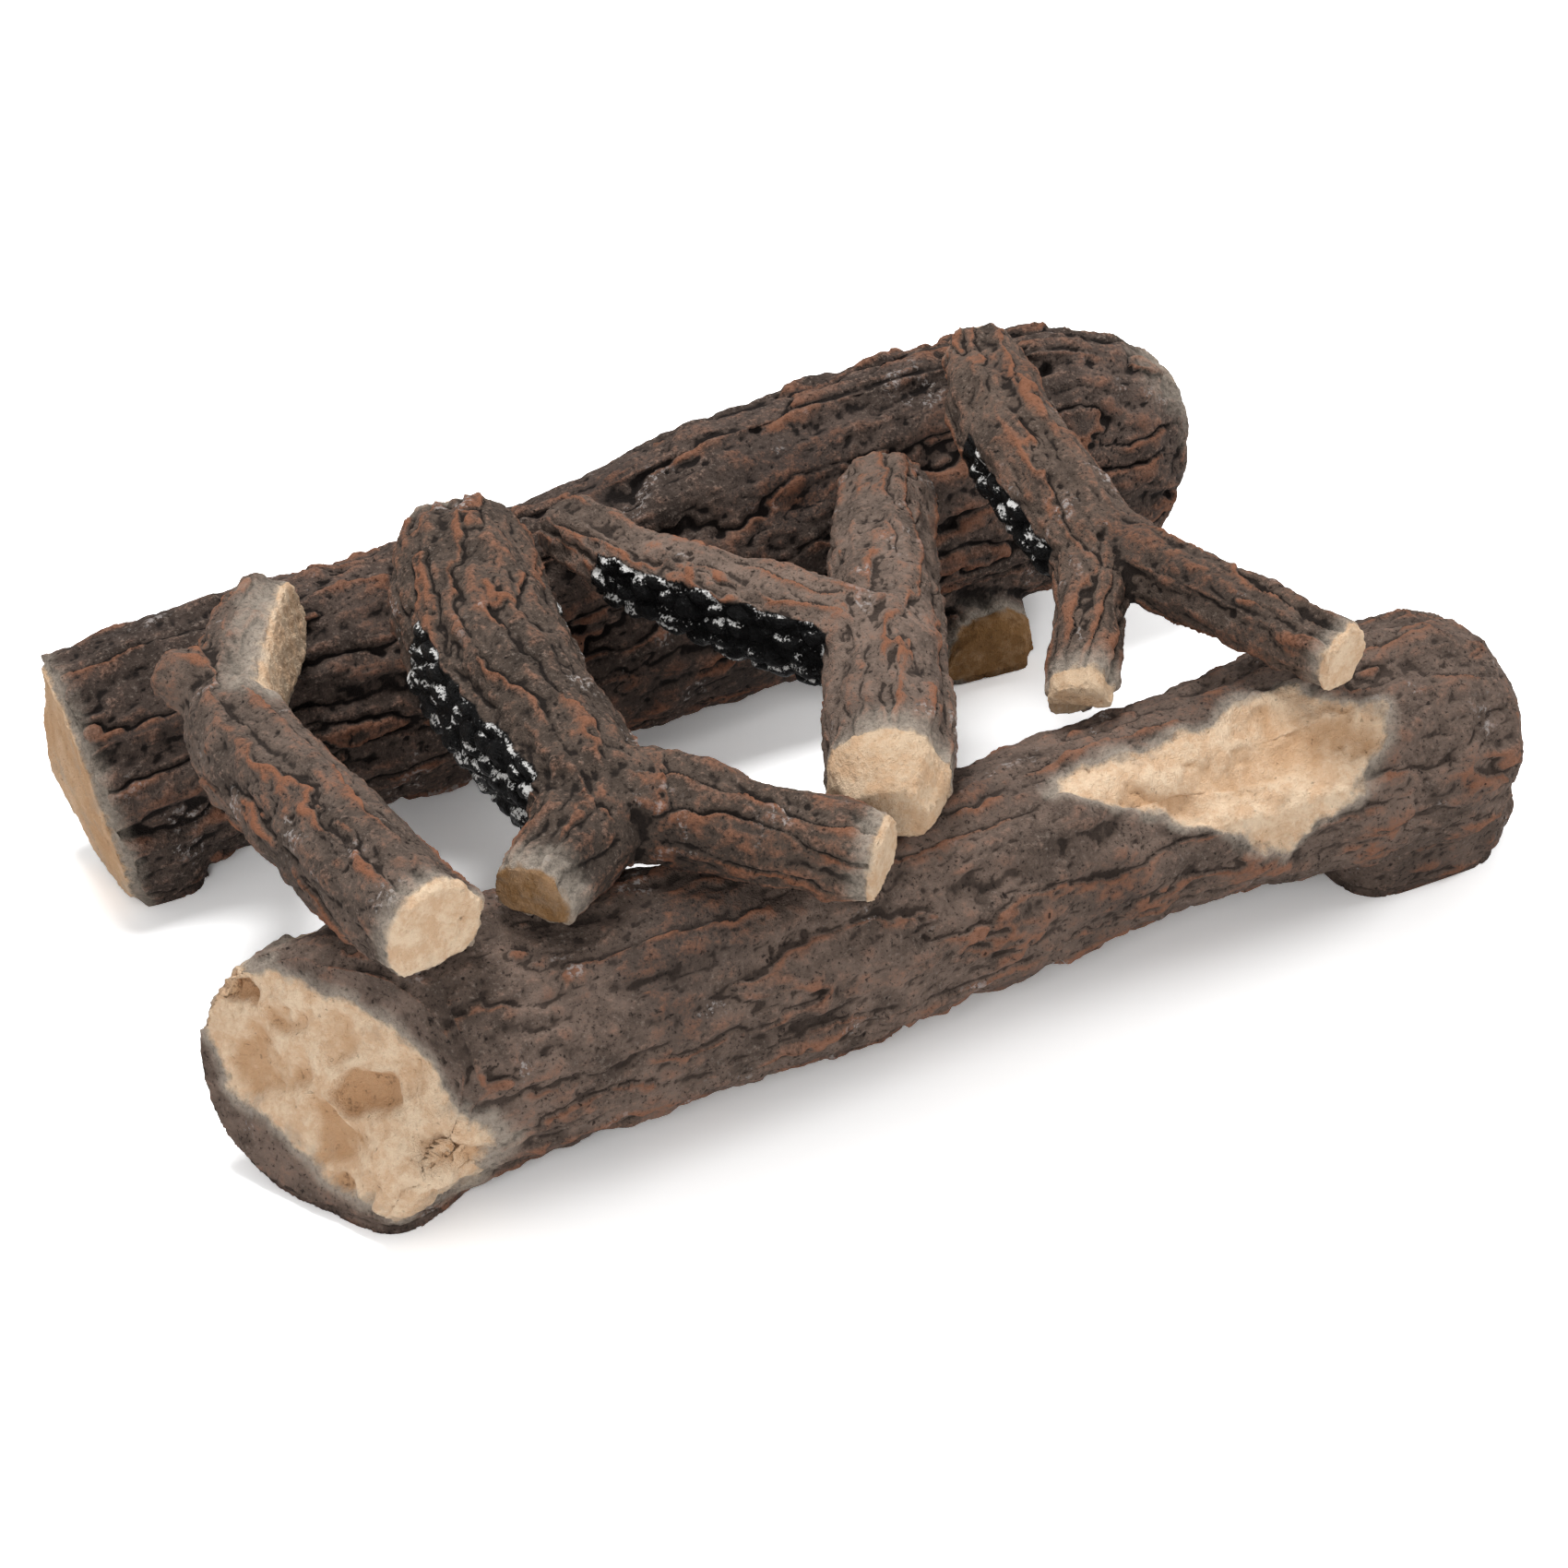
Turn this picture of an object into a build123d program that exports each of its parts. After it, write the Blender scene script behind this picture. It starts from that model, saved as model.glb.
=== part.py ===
"""Gas log set: two cast base logs on feet, bridged by one bent and three forked branch logs.

Units are millimetres, +Z is up, the logs run along X and the branches cross them along Y.
The front log lies towards -Y. The origin is under the middle of the whole set, on the hearth.
Each limb is a loft through outlines with one lip, cleft and plate per ridge of the cast bark.
"""
from build123d import *
from math import cos, sin, radians
import os

os.makedirs("parts", exist_ok=True)

# Driving sizes of the set
ROW_SPACING = 212.0
SEAT_GAP = 0.3
FRONT_AXIS = -ROW_SPACING / 2
REAR_AXIS = ROW_SPACING / 2

# Front log and its two cast feet
FRONT_LOG_LENGTH = 510.0
FRONT_LOG_GIRTH = 90.0
FRONT_LOG_LIFT = 8.0
FRONT_LOG_OFFSET = -5.0
FRONT_END_SKEW = 28.0
FRONT_END_TILT = 12.0
LEFT_FOOT_LENGTH = 56.0
RIGHT_FOOT_LENGTH = 74.0
FRONT_FOOT_DEPTH = 72.0
FRONT_FOOT_CORNER = 18.0

# Rear log: a leaning oval, with a foot under its left end and a sawn stub as its right foot
REAR_LOG_LENGTH = 488.0
REAR_LOG_HEIGHT = 104.0
REAR_LOG_DEPTH = 74.0
REAR_LOG_LEAN = 27.0
REAR_LOG_LIFT = 12.0
REAR_LOG_OFFSET = -2.0
REAR_SAW_SKEW = 5.0
REAR_SAW_TILT = 12.0
REAR_FOOT_LENGTH = 44.0
REAR_FOOT_DEPTH = 42.0
REAR_FOOT_CORNER = 14.0
STUB_GIRTH = 52.0
FOOT_FLARE = 12.0
FOOT_HEIGHT_share = 0.33

# Girths of the branches at their thickest
BENT_GIRTH = 44.0
LEFT_FORK_GIRTH = 56.0
MIDDLE_FORK_GIRTH = 48.0
RIGHT_FORK_GIRTH = 43.0

# Gouges that peeled the bark off the front log, and the sawn bevel on the bent branch
PEEL_RADIUS = 330.0
PEEL_DEPTH = 6.0
PEEL_TILT = 50.0
END_PEEL_RADIUS = 110.0
END_PEEL_DEPTH = 10.0
END_PEEL_TILT = 22.0
END_PEEL_TURN = -48.0
BEVEL_TURN = 28.0
BEVEL_TILT = 14.0

# Bark, as cast: each ridge has a raised lip, a steep side down to a cleft, then a plate that
# rises to the next lip. The ridges wind round the limb a little from row to row, and each one
# swells and fades along it.
FRONT_BARK_DEPTH = 3.6
REAR_BARK_DEPTH = 5.2
BRANCH_BARK_DEPTH = 2.8
FRONT_RIDGES = 9
REAR_RIDGES = 11
BRANCH_RIDGES = 5
LIP_share = 0.35
CLEFT_share = -0.65
PLATE_share = 0.0
CLEFT_TURN_share = 0.22
PLATE_TURN_share = 0.58
BARK_TWIST = 1.6
BARK_FADE_share = 0.75
FADE_TURN = 97.0
FADE_STEP = 34.0
FULL_TURN = 360.0

# Front log rows: along the length from its middle, back from the axis, centre's height over
# the lift, half depth and half height, the last four as shares of the girth
FRONT_LOG_shares = [
    (-0.530, 0.13, 0.44, 0.48, 0.48),
    (-0.455, 0.12, 0.45, 0.54, 0.55),
    (-0.382, 0.10, 0.47, 0.56, 0.56),
    (-0.320, 0.07, 0.49, 0.55, 0.54),
    (-0.255, 0.00, 0.50, 0.50, 0.49),
    (-0.170, -0.04, 0.50, 0.47, 0.47),
    (-0.078, -0.07, 0.50, 0.46, 0.46),
    (0.020, -0.06, 0.53, 0.42, 0.44),
    (0.108, -0.01, 0.53, 0.42, 0.48),
    (0.196, 0.04, 0.53, 0.44, 0.44),
    (0.284, 0.04, 0.53, 0.49, 0.44),
    (0.373, 0.03, 0.54, 0.53, 0.49),
    (0.441, 0.01, 0.54, 0.54, 0.51),
    (0.482, 0.00, 0.53, 0.47, 0.45),
    (0.500, 0.00, 0.52, 0.34, 0.32),
]

# Rear log rows: the same, with depths as shares of its depth and heights of its height, then
# how much of the full lean the oval takes there
REAR_LOG_shares = [
    (-0.530, 0.15, 0.32, 0.46, 0.49, 1.0),
    (-0.420, 0.18, 0.38, 0.47, 0.47, 0.95),
    (-0.320, 0.16, 0.42, 0.47, 0.46, 0.9),
    (-0.221, 0.13, 0.43, 0.49, 0.48, 0.8),
    (-0.115, 0.11, 0.46, 0.49, 0.49, 0.7),
    (-0.025, 0.10, 0.48, 0.49, 0.51, 0.65),
    (0.055, 0.12, 0.53, 0.51, 0.57, 0.5),
    (0.168, 0.16, 0.55, 0.54, 0.58, 0.45),
    (0.291, 0.20, 0.58, 0.55, 0.58, 0.35),
    (0.390, 0.19, 0.57, 0.55, 0.56, 0.3),
    (0.455, 0.16, 0.53, 0.54, 0.49, 0.2),
    (0.494, 0.15, 0.49, 0.45, 0.39, 0.2),
    (0.508, 0.15, 0.47, 0.30, 0.26, 0.2),
]

# Places of the feet and of the peeled patches along their log, and of each foot's middle back
# from the log's axis, then where each log is cut off at its left end
LEFT_FRONT_FOOT_shares = (-0.406, 0.14)
RIGHT_FRONT_FOOT_shares = (0.441, 0.11)
LEFT_REAR_FOOT_shares = (-0.452, 0.02)
PEEL_shares = (0.235, -0.04, 0.51, 0.46)
END_PEEL_shares = (-0.425, -0.02, 0.50, 0.10)
END_CUT_shares = (-0.440, 0.02, 0.45)
SAW_CUT_shares = (-0.486, 0.15, 0.33)

# Rows of the sawn stub that is the rear log's right foot: along that log, back from its axis
# and up as shares of the stub's girth, then its half width and half height as the same
STUB_shares = [
    (0.285, -0.63, 0.12, 0.48, 0.46),
    (0.288, -0.30, 0.16, 0.55, 0.54),
    (0.292, 0.10, 0.26, 0.62, 0.60),
    (0.296, 0.55, 0.60, 0.60, 0.60),
]

# Rows of the branches: along the front log from its middle, across from the front log's axis
# to the rear one's, rise of the limb's centre over the line between the two logs' tops as a
# share of the branch's girth, and the limb's thickness as a share of that girth
BENT_LIMB_shares = [
    (-0.386, 0.769, 0.16, 0.50),
    (-0.396, 0.718, 0.17, 0.80),
    (-0.403, 0.636, 0.19, 0.93),
    (-0.406, 0.528, 0.23, 0.98),
    (-0.400, 0.348, 0.27, 1.00),
    (-0.394, 0.198, 0.30, 1.00),
    (-0.387, 0.050, 0.33, 0.97),
    (-0.377, -0.073, 0.33, 0.90),
]
BENT_ARM_shares = [
    (-0.406, 0.595, 0.22, 0.60),
    (-0.400, 0.680, 0.22, 0.80),
    (-0.379, 0.775, 0.19, 0.88),
    (-0.354, 0.870, 0.15, 0.92),
    (-0.330, 0.960, 0.10, 0.88),
    (-0.317, 1.015, 0.07, 0.66),
]
LEFT_TRUNK_shares = [
    (-0.162, 0.975, 0.05, 0.80),
    (-0.170, 0.945, 0.08, 1.00),
    (-0.182, 0.880, 0.14, 1.06),
    (-0.197, 0.775, 0.17, 1.12),
    (-0.213, 0.600, 0.20, 1.11),
    (-0.222, 0.424, 0.24, 1.04),
    (-0.223, 0.270, 0.27, 0.95),
    (-0.222, 0.118, 0.30, 0.80),
    (-0.220, 0.050, 0.28, 0.50),
]
LEFT_SHORT_PRONG_shares = [
    (-0.222, 0.140, 0.30, 0.70),
    (-0.242, 0.080, 0.29, 0.72),
    (-0.266, 0.035, 0.27, 0.65),
    (-0.305, -0.030, 0.25, 0.54),
]
LEFT_LONG_PRONG_shares = [
    (-0.228, 0.160, 0.30, 0.72),
    (-0.181, 0.081, 0.28, 0.76),
    (-0.145, -0.015, 0.27, 0.67),
    (-0.108, -0.105, 0.26, 0.61),
    (-0.072, -0.195, 0.26, 0.58),
]
MIDDLE_ARM_shares = [
    (-0.092, 0.975, -0.27, 0.38),
    (-0.085, 0.930, -0.25, 0.56),
    (-0.066, 0.782, -0.18, 0.68),
    (-0.037, 0.625, -0.06, 0.78),
    (0.002, 0.486, 0.04, 0.86),
    (0.042, 0.338, 0.13, 0.84),
]
MIDDLE_TRUNK_shares = [
    (0.186, 0.915, -0.63, 0.72),
    (0.178, 0.885, -0.59, 0.84),
    (0.158, 0.805, -0.47, 0.84),
    (0.127, 0.683, -0.32, 0.88),
    (0.084, 0.492, -0.13, 0.96),
    (0.041, 0.295, 0.05, 1.00),
    (-0.001, 0.110, 0.15, 1.05),
    (-0.029, -0.012, 0.21, 0.94),
    (-0.045, -0.085, 0.24, 0.62),
]
RIGHT_TRUNK_shares = [
    (0.294, 1.035, 0.12, 0.44),
    (0.290, 1.000, 0.14, 0.68),
    (0.281, 0.940, 0.17, 0.82),
    (0.263, 0.826, 0.22, 0.96),
    (0.248, 0.657, 0.24, 1.01),
    (0.244, 0.509, 0.22, 1.03),
    (0.245, 0.386, 0.18, 0.98),
    (0.245, 0.320, 0.16, 0.66),
]
RIGHT_SHORT_PRONG_shares = [
    (0.247, 0.430, 0.21, 0.80),
    (0.230, 0.345, 0.16, 0.76),
    (0.212, 0.285, 0.10, 0.68),
    (0.179, 0.180, 0.01, 0.61),
    (0.153, 0.088, -0.04, 0.60),
]
RIGHT_LONG_PRONG_shares = [
    (0.242, 0.430, 0.21, 0.80),
    (0.272, 0.271, 0.27, 0.74),
    (0.295, 0.145, 0.33, 0.68),
    (0.315, 0.015, 0.40, 0.67),
    (0.332, -0.095, 0.45, 0.66),
]

# Stretches of the front log under each branch's feet, and of the rear log under its head
BENT_FOOT_shares = (-0.43, -0.33)
BENT_HEAD_shares = (-0.37, -0.30)
LEFT_SHORT_FOOT_shares = (-0.37, -0.23)
LEFT_LONG_FOOT_shares = (-0.23, -0.03)
LEFT_HEAD_shares = (-0.24, -0.14)
MIDDLE_FOOT_shares = (-0.11, 0.03)
MIDDLE_HEAD_shares = (-0.14, 0.22)
RIGHT_SHORT_FOOT_shares = (0.12, 0.21)
RIGHT_LONG_FOOT_shares = (0.27, 0.37)
RIGHT_HEAD_shares = (0.25, 0.34)

# The knot of the bent branch, as rows of the same kind, and where its bevel starts
BENT_KNOT_shares = [
    (-0.396, 0.730, 0.28, 0.66),
    (-0.415, 0.786, 0.32, 0.60),
    (-0.428, 0.822, 0.34, 0.46),
]
BEVEL_shares = (-0.331, 0.830, 0.20)

# How far the cutting shelf of a seat starts behind the front log's axis, of its girth
SHELF_START_share = 0.30


def ring(centre, along, half_wide, half_tall, lean, ridges, depth, row, clearance):
    """Closed outline square to the limb, with a lip, a cleft and a plate for each ridge.

    With a clearance it is the outline of a skin over the lips instead, that far off them.
    """
    side = Vector(0, 0, 1).cross(along).normalized()
    up = along.cross(side)
    wide = side * cos(radians(lean)) - up * sin(radians(lean))
    tall = up * cos(radians(lean)) + side * sin(radians(lean))
    pitch = FULL_TURN / ridges
    rises = (LIP_share, LIP_share, LIP_share) if clearance else (LIP_share, CLEFT_share, PLATE_share)
    points = []
    for ridge in range(ridges):
        fade = (1 + cos(radians(FADE_TURN * ridge + FADE_STEP * row))) / 2
        strength = depth * (1 - BARK_FADE_share * fade)
        for share, rise in zip((0, CLEFT_TURN_share, PLATE_TURN_share), rises):
            turn = radians((ridge + share) * pitch + BARK_TWIST * row)
            out = wide * (half_wide * cos(turn)) + tall * (half_tall * sin(turn))
            points.append(centre + out + out.normalized() * (rise * strength + clearance))
    return make_face(Polyline(*points, close=True))


def limb(rows, ridges, depth, clearance=0.0):
    """Loft a limb through rows of centre, half depth, half height and lean, or the skin over it."""
    centres = [row[0] for row in rows]
    outlines = []
    for index, (centre, half_wide, half_tall, lean) in enumerate(rows):
        before = centres[max(index - 1, 0)]
        after = centres[min(index + 1, len(rows) - 1)]
        along = (after - before).normalized()
        outlines.append(ring(centre, along, half_wide, half_tall, lean, ridges, depth, index, clearance))
    return loft(outlines, ruled=True)


def front_place(along, back, up):
    """A point of the front log from its place along the length and off the axis."""
    return Vector(FRONT_LOG_OFFSET + along * FRONT_LOG_LENGTH, FRONT_AXIS + back * FRONT_LOG_GIRTH,
                  FRONT_LOG_LIFT + up * FRONT_LOG_GIRTH)


def rear_place(along, back, up):
    """The same for the rear log."""
    return Vector(REAR_LOG_OFFSET + along * REAR_LOG_LENGTH, REAR_AXIS + back * REAR_LOG_DEPTH,
                  REAR_LOG_LIFT + up * REAR_LOG_HEIGHT)


def front_body(clearance=0.0):
    """Front log without feet, or the skin over it that cuts the branches' seats."""
    rows = []
    for along, back, up, half_wide, half_tall in FRONT_LOG_shares:
        rows.append((front_place(along, back, up), half_wide * FRONT_LOG_GIRTH,
                     half_tall * FRONT_LOG_GIRTH, 0.0))
    return limb(rows, FRONT_RIDGES, FRONT_BARK_DEPTH, clearance)


def rear_body(clearance=0.0):
    """Rear log without feet, a leaning oval, or the skin over it."""
    rows = []
    for along, back, up, half_wide, half_tall, lean in REAR_LOG_shares:
        rows.append((rear_place(along, back, up), half_wide * REAR_LOG_DEPTH,
                     half_tall * REAR_LOG_HEIGHT, lean * REAR_LOG_LEAN))
    return limb(rows, REAR_RIDGES, REAR_BARK_DEPTH, clearance)


def foot(place, turn, length, depth, corner, height):
    """Flared foot from the hearth up into the body of a log."""
    plan = Pos(place.X, place.Y, 0) * Rot(0, 0, turn) * RectangleRounded(length, depth, corner)
    return extrude(plan, height, taper=-FOOT_FLARE)


def gouge(place, reach, radius, depth, tilt, turn):
    """Ball that hollows a patch: it enters a surface at reach from place by depth."""
    outward = Vector(0, -1, 0).rotate(Axis.X, -tilt).rotate(Axis.Z, turn)
    return Pos(*(place + outward * (reach + radius - depth))) * Sphere(radius)


def sawn(log, place, tilt, skew):
    """Cut a log off at its left end: the cut faces left, tilted up and skewed to the front."""
    cut = Plane(place, z_dir=Vector(-1, 0, 0).rotate(Axis.Y, tilt).rotate(Axis.Z, skew))
    return split(log, bisect_by=cut, keep=Keep.BOTTOM)


def crest(log, length, stretch):
    """Height of the top of a log over a stretch of its length."""
    low, high = stretch
    block = Box((high - low) * length, 2 * ROW_SPACING, 2 * ROW_SPACING)
    return (log & Pos((high + low) / 2 * length, 0, 0) * block).bounding_box().max.Z


def branch_place(along, across, rise, girth, front_top, rear_top):
    """A point of a branch, from its place between the tops of the two base logs."""
    height = front_top + (rear_top - front_top) * across + rise * girth
    return Vector(along * FRONT_LOG_LENGTH, FRONT_AXIS + across * ROW_SPACING, height)


def branch_limb(shares, girth, front_top, rear_top):
    """Loft one round limb of a branch through its rows."""
    rows = []
    for along, across, rise, thick in shares:
        centre = branch_place(along, across, rise, girth, front_top, rear_top)
        rows.append((centre, thick * girth / 2, thick * girth / 2, 0.0))
    return limb(rows, BRANCH_RIDGES, BRANCH_BARK_DEPTH)


def shelf(stretch):
    """Block under a branch's foot: level with the front log's top and out to the front."""
    low, high = stretch
    top = crest(front_log_body, FRONT_LOG_LENGTH, stretch) + SEAT_GAP
    start = FRONT_AXIS + SHELF_START_share * FRONT_LOG_GIRTH
    block = Box((high - low) * FRONT_LOG_LENGTH, ROW_SPACING, top,
                align=(Align.CENTER, Align.MAX, Align.MIN))
    return Pos((high + low) / 2 * FRONT_LOG_LENGTH, start, 0) * block


def seated(branch, feet):
    """Cut the branch's seats: hollows that fit the two logs and a level shelf per foot."""
    branch = branch - front_seat - rear_seat
    for stretch in feet:
        branch = branch - shelf(stretch)
    return branch


# Base log bodies, and the skins over their lips, which leave the seat gap
front_log_body = front_body()
rear_log_body = rear_body()
front_seat = front_body(SEAT_GAP)
rear_seat = rear_body(SEAT_GAP)

# Front log: body, two feet and two gouged patches
front_log = front_log_body
for (along, back), turn, length in ((LEFT_FRONT_FOOT_shares, FRONT_END_SKEW, LEFT_FOOT_LENGTH),
                                    (RIGHT_FRONT_FOOT_shares, 0, RIGHT_FOOT_LENGTH)):
    front_log = front_log + foot(front_place(along, back, 0), turn, length, FRONT_FOOT_DEPTH,
                                 FRONT_FOOT_CORNER, FOOT_HEIGHT_share * FRONT_LOG_GIRTH)
front_log = sawn(front_log, front_place(*END_CUT_shares), FRONT_END_TILT, FRONT_END_SKEW)
along, back, up, reach = PEEL_shares
front_log = front_log - gouge(front_place(along, back, up), reach * FRONT_LOG_GIRTH,
                              PEEL_RADIUS, PEEL_DEPTH, PEEL_TILT, 0)
along, back, up, reach = END_PEEL_shares
front_log = front_log - gouge(front_place(along, back, up), reach * FRONT_LOG_GIRTH,
                              END_PEEL_RADIUS, END_PEEL_DEPTH, END_PEEL_TILT, END_PEEL_TURN)

# Rear log: body and left foot sawn off together, and a sawn stub for the right foot
along, back = LEFT_REAR_FOOT_shares
rear_log = rear_log_body + foot(rear_place(along, back, 0), 0, REAR_FOOT_LENGTH, REAR_FOOT_DEPTH,
                                REAR_FOOT_CORNER, FOOT_HEIGHT_share * REAR_LOG_HEIGHT)
rear_log = sawn(rear_log, rear_place(*SAW_CUT_shares), -REAR_SAW_TILT, -REAR_SAW_SKEW)
stub_rows = []
for along, back, up, half_wide, half_tall in STUB_shares:
    place = Vector(REAR_LOG_OFFSET + along * REAR_LOG_LENGTH, REAR_AXIS + back * STUB_GIRTH,
                   up * STUB_GIRTH)
    stub_rows.append((place, half_wide * STUB_GIRTH, half_tall * STUB_GIRTH, 0.0))
rear_log = rear_log + limb(stub_rows, BRANCH_RIDGES, BRANCH_BARK_DEPTH)

# Nothing of the base logs reaches below the hearth
hearth = Box(2 * FRONT_LOG_LENGTH, 2 * ROW_SPACING, ROW_SPACING,
             align=(Align.CENTER, Align.CENTER, Align.MAX))
front_log = front_log - hearth
rear_log = rear_log - hearth

# Bent branch: a limb over the front log, an arm back onto the rear one, bevelled, and a knot
front_top = crest(front_log_body, FRONT_LOG_LENGTH, BENT_FOOT_shares)
rear_top = crest(rear_log_body, REAR_LOG_LENGTH, BENT_HEAD_shares)
arm = branch_limb(BENT_ARM_shares, BENT_GIRTH, front_top, rear_top)
bevel = Plane(branch_place(*BEVEL_shares, BENT_GIRTH, front_top, rear_top),
              z_dir=Vector(1, 0, 0).rotate(Axis.Y, -BEVEL_TILT).rotate(Axis.Z, -BEVEL_TURN))
arm = split(arm, bisect_by=bevel, keep=Keep.BOTTOM)
knot = branch_limb(BENT_KNOT_shares, BENT_GIRTH, front_top, rear_top)
bent_log = branch_limb(BENT_LIMB_shares, BENT_GIRTH, front_top, rear_top) + arm + knot
bent_log = seated(bent_log, [BENT_FOOT_shares])

# Left forked branch: a trunk on the rear log and two prongs over the front one
front_top = crest(front_log_body, FRONT_LOG_LENGTH, LEFT_LONG_FOOT_shares)
rear_top = crest(rear_log_body, REAR_LOG_LENGTH, LEFT_HEAD_shares)
left_forked_log = branch_limb(LEFT_TRUNK_shares, LEFT_FORK_GIRTH, front_top, rear_top)
for shares in (LEFT_SHORT_PRONG_shares, LEFT_LONG_PRONG_shares):
    left_forked_log = left_forked_log + branch_limb(shares, LEFT_FORK_GIRTH, front_top, rear_top)
left_forked_log = seated(left_forked_log, [LEFT_SHORT_FOOT_shares, LEFT_LONG_FOOT_shares])

# Middle forked branch: two arms on the rear log that join over the front one
front_top = crest(front_log_body, FRONT_LOG_LENGTH, MIDDLE_FOOT_shares)
rear_top = crest(rear_log_body, REAR_LOG_LENGTH, MIDDLE_HEAD_shares)
middle_forked_log = branch_limb(MIDDLE_TRUNK_shares, MIDDLE_FORK_GIRTH, front_top, rear_top)
arm = branch_limb(MIDDLE_ARM_shares, MIDDLE_FORK_GIRTH, front_top, rear_top)
middle_forked_log = middle_forked_log + arm
middle_forked_log = seated(middle_forked_log, [MIDDLE_FOOT_shares])

# Right forked branch: a trunk over the rear log and two prongs at the front log
front_top = crest(front_log_body, FRONT_LOG_LENGTH, RIGHT_SHORT_FOOT_shares)
rear_top = crest(rear_log_body, REAR_LOG_LENGTH, RIGHT_HEAD_shares)
right_forked_log = branch_limb(RIGHT_TRUNK_shares, RIGHT_FORK_GIRTH, front_top, rear_top)
for shares in (RIGHT_SHORT_PRONG_shares, RIGHT_LONG_PRONG_shares):
    right_forked_log = right_forked_log + branch_limb(shares, RIGHT_FORK_GIRTH, front_top, rear_top)
right_forked_log = seated(right_forked_log, [RIGHT_SHORT_FOOT_shares, RIGHT_LONG_FOOT_shares])

# Everything moves together so that the origin is under the middle of the set, on the hearth
parts = {
    "front_log": front_log,
    "rear_log": rear_log,
    "bent_log": bent_log,
    "left_forked_log": left_forked_log,
    "middle_forked_log": middle_forked_log,
    "right_forked_log": right_forked_log,
}
boxes = [part.bounding_box() for part in parts.values()]
middle_x = (min(box.min.X for box in boxes) + max(box.max.X for box in boxes)) / 2
middle_y = (min(box.min.Y for box in boxes) + max(box.max.Y for box in boxes)) / 2
home = Pos(-middle_x, -middle_y, 0)
print("origin moved by", round(-middle_x, 2), round(-middle_y, 2))
for name, part in parts.items():
    part = home * part
    size = part.bounding_box().size
    print(name, "solids", len(part.solids()), "litres", round(part.volume / 1e6, 3),
          "size", round(size.X), round(size.Y), round(size.Z))
    export_step(part, f"parts/{name}.step")
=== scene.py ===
# %% [markdown]
# # A gas log set, cast to look like half-burnt wood
# Six loose castings: two base logs stand on their own feet, and one bent and three forked
# branches lie across them. The solids give each casting its size, its seats and its feet.
# This file gives them their bark, their sawn and peeled places, their char and their paint.

# %% Load the fixed frame
import math

import bpy
import numpy as np
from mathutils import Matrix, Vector
from mathutils.bvhtree import BVHTree


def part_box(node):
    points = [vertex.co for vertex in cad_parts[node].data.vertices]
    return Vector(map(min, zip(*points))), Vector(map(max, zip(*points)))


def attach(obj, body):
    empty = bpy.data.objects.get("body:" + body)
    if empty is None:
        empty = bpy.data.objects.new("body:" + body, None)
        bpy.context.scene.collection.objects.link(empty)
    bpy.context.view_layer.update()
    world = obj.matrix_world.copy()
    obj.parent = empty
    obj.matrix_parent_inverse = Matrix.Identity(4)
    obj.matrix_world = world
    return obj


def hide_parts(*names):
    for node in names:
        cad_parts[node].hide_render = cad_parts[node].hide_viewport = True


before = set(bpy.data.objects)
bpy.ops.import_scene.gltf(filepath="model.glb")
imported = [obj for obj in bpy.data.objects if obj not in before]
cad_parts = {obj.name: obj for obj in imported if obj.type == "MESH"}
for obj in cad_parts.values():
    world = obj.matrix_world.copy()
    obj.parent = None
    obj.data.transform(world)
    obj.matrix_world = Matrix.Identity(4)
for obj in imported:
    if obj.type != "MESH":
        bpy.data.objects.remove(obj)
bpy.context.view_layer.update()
MM = 0.001
# All places below were measured with the middle of the rear log's box at this place, in
# millimetres, and they move with it
REAR_LOG_MIDDLE = (0.8, 114.2)

low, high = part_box("rear_log")
moved = np.array(((low[0] + high[0]) / 2 / MM - REAR_LOG_MIDDLE[0],
                  (low[1] + high[1]) / 2 / MM - REAR_LOG_MIDDLE[1], 0.0))
print("places move by", moved.round(1), "mm")

# %% [markdown]
# ## The camera
# A product picture of something this flat is taken from above and to one side, from far
# enough away that the near log isn't swollen. A long lens does that: its frame is narrow, so
# the camera stands back, and lines that run away from it stay almost parallel.

# %% Place the camera
VIEW_AZIMUTH = math.radians(-28.0)
VIEW_ELEVATION = math.radians(35.0)
VIEW_DISTANCE = 1.423
AIM_HEIGHT = 0.040
AIM_SIDE = -0.0019
AIM_BACK = -0.0055
SENSOR_WIDTH = 36.0
# Focal length as a multiple of the width of the picture
LENS_TO_SENSOR = 4000 / 1700

aim = Vector((AIM_SIDE, AIM_BACK, AIM_HEIGHT)) + Vector(moved * MM)
backwards = Vector((math.sin(VIEW_AZIMUTH) * math.cos(VIEW_ELEVATION),
                    -math.cos(VIEW_AZIMUTH) * math.cos(VIEW_ELEVATION),
                    math.sin(VIEW_ELEVATION)))
camera_data = bpy.data.cameras.new("product_camera")
camera_data.sensor_width = SENSOR_WIDTH
camera_data.lens = SENSOR_WIDTH * LENS_TO_SENSOR
camera = bpy.data.objects.new("product_camera", camera_data)
camera.location = aim + backwards * VIEW_DISTANCE
camera.rotation_euler = (-backwards).to_track_quat("-Z", "Y").to_euler()
bpy.context.scene.collection.objects.link(camera)
bpy.context.scene.camera = camera
bpy.context.scene.view_settings.view_transform = "Standard"
print("lens", round(camera_data.lens, 1), "mm, camera at", [round(v, 3) for v in camera.location])

# %% [markdown]
# ## A small kit for shader nodes
# Every finish here is a graph of nodes. Written out one by one, such a graph takes a page, so
# four short helpers make a node, mix two colours, stretch a value and read a painted value.

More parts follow.
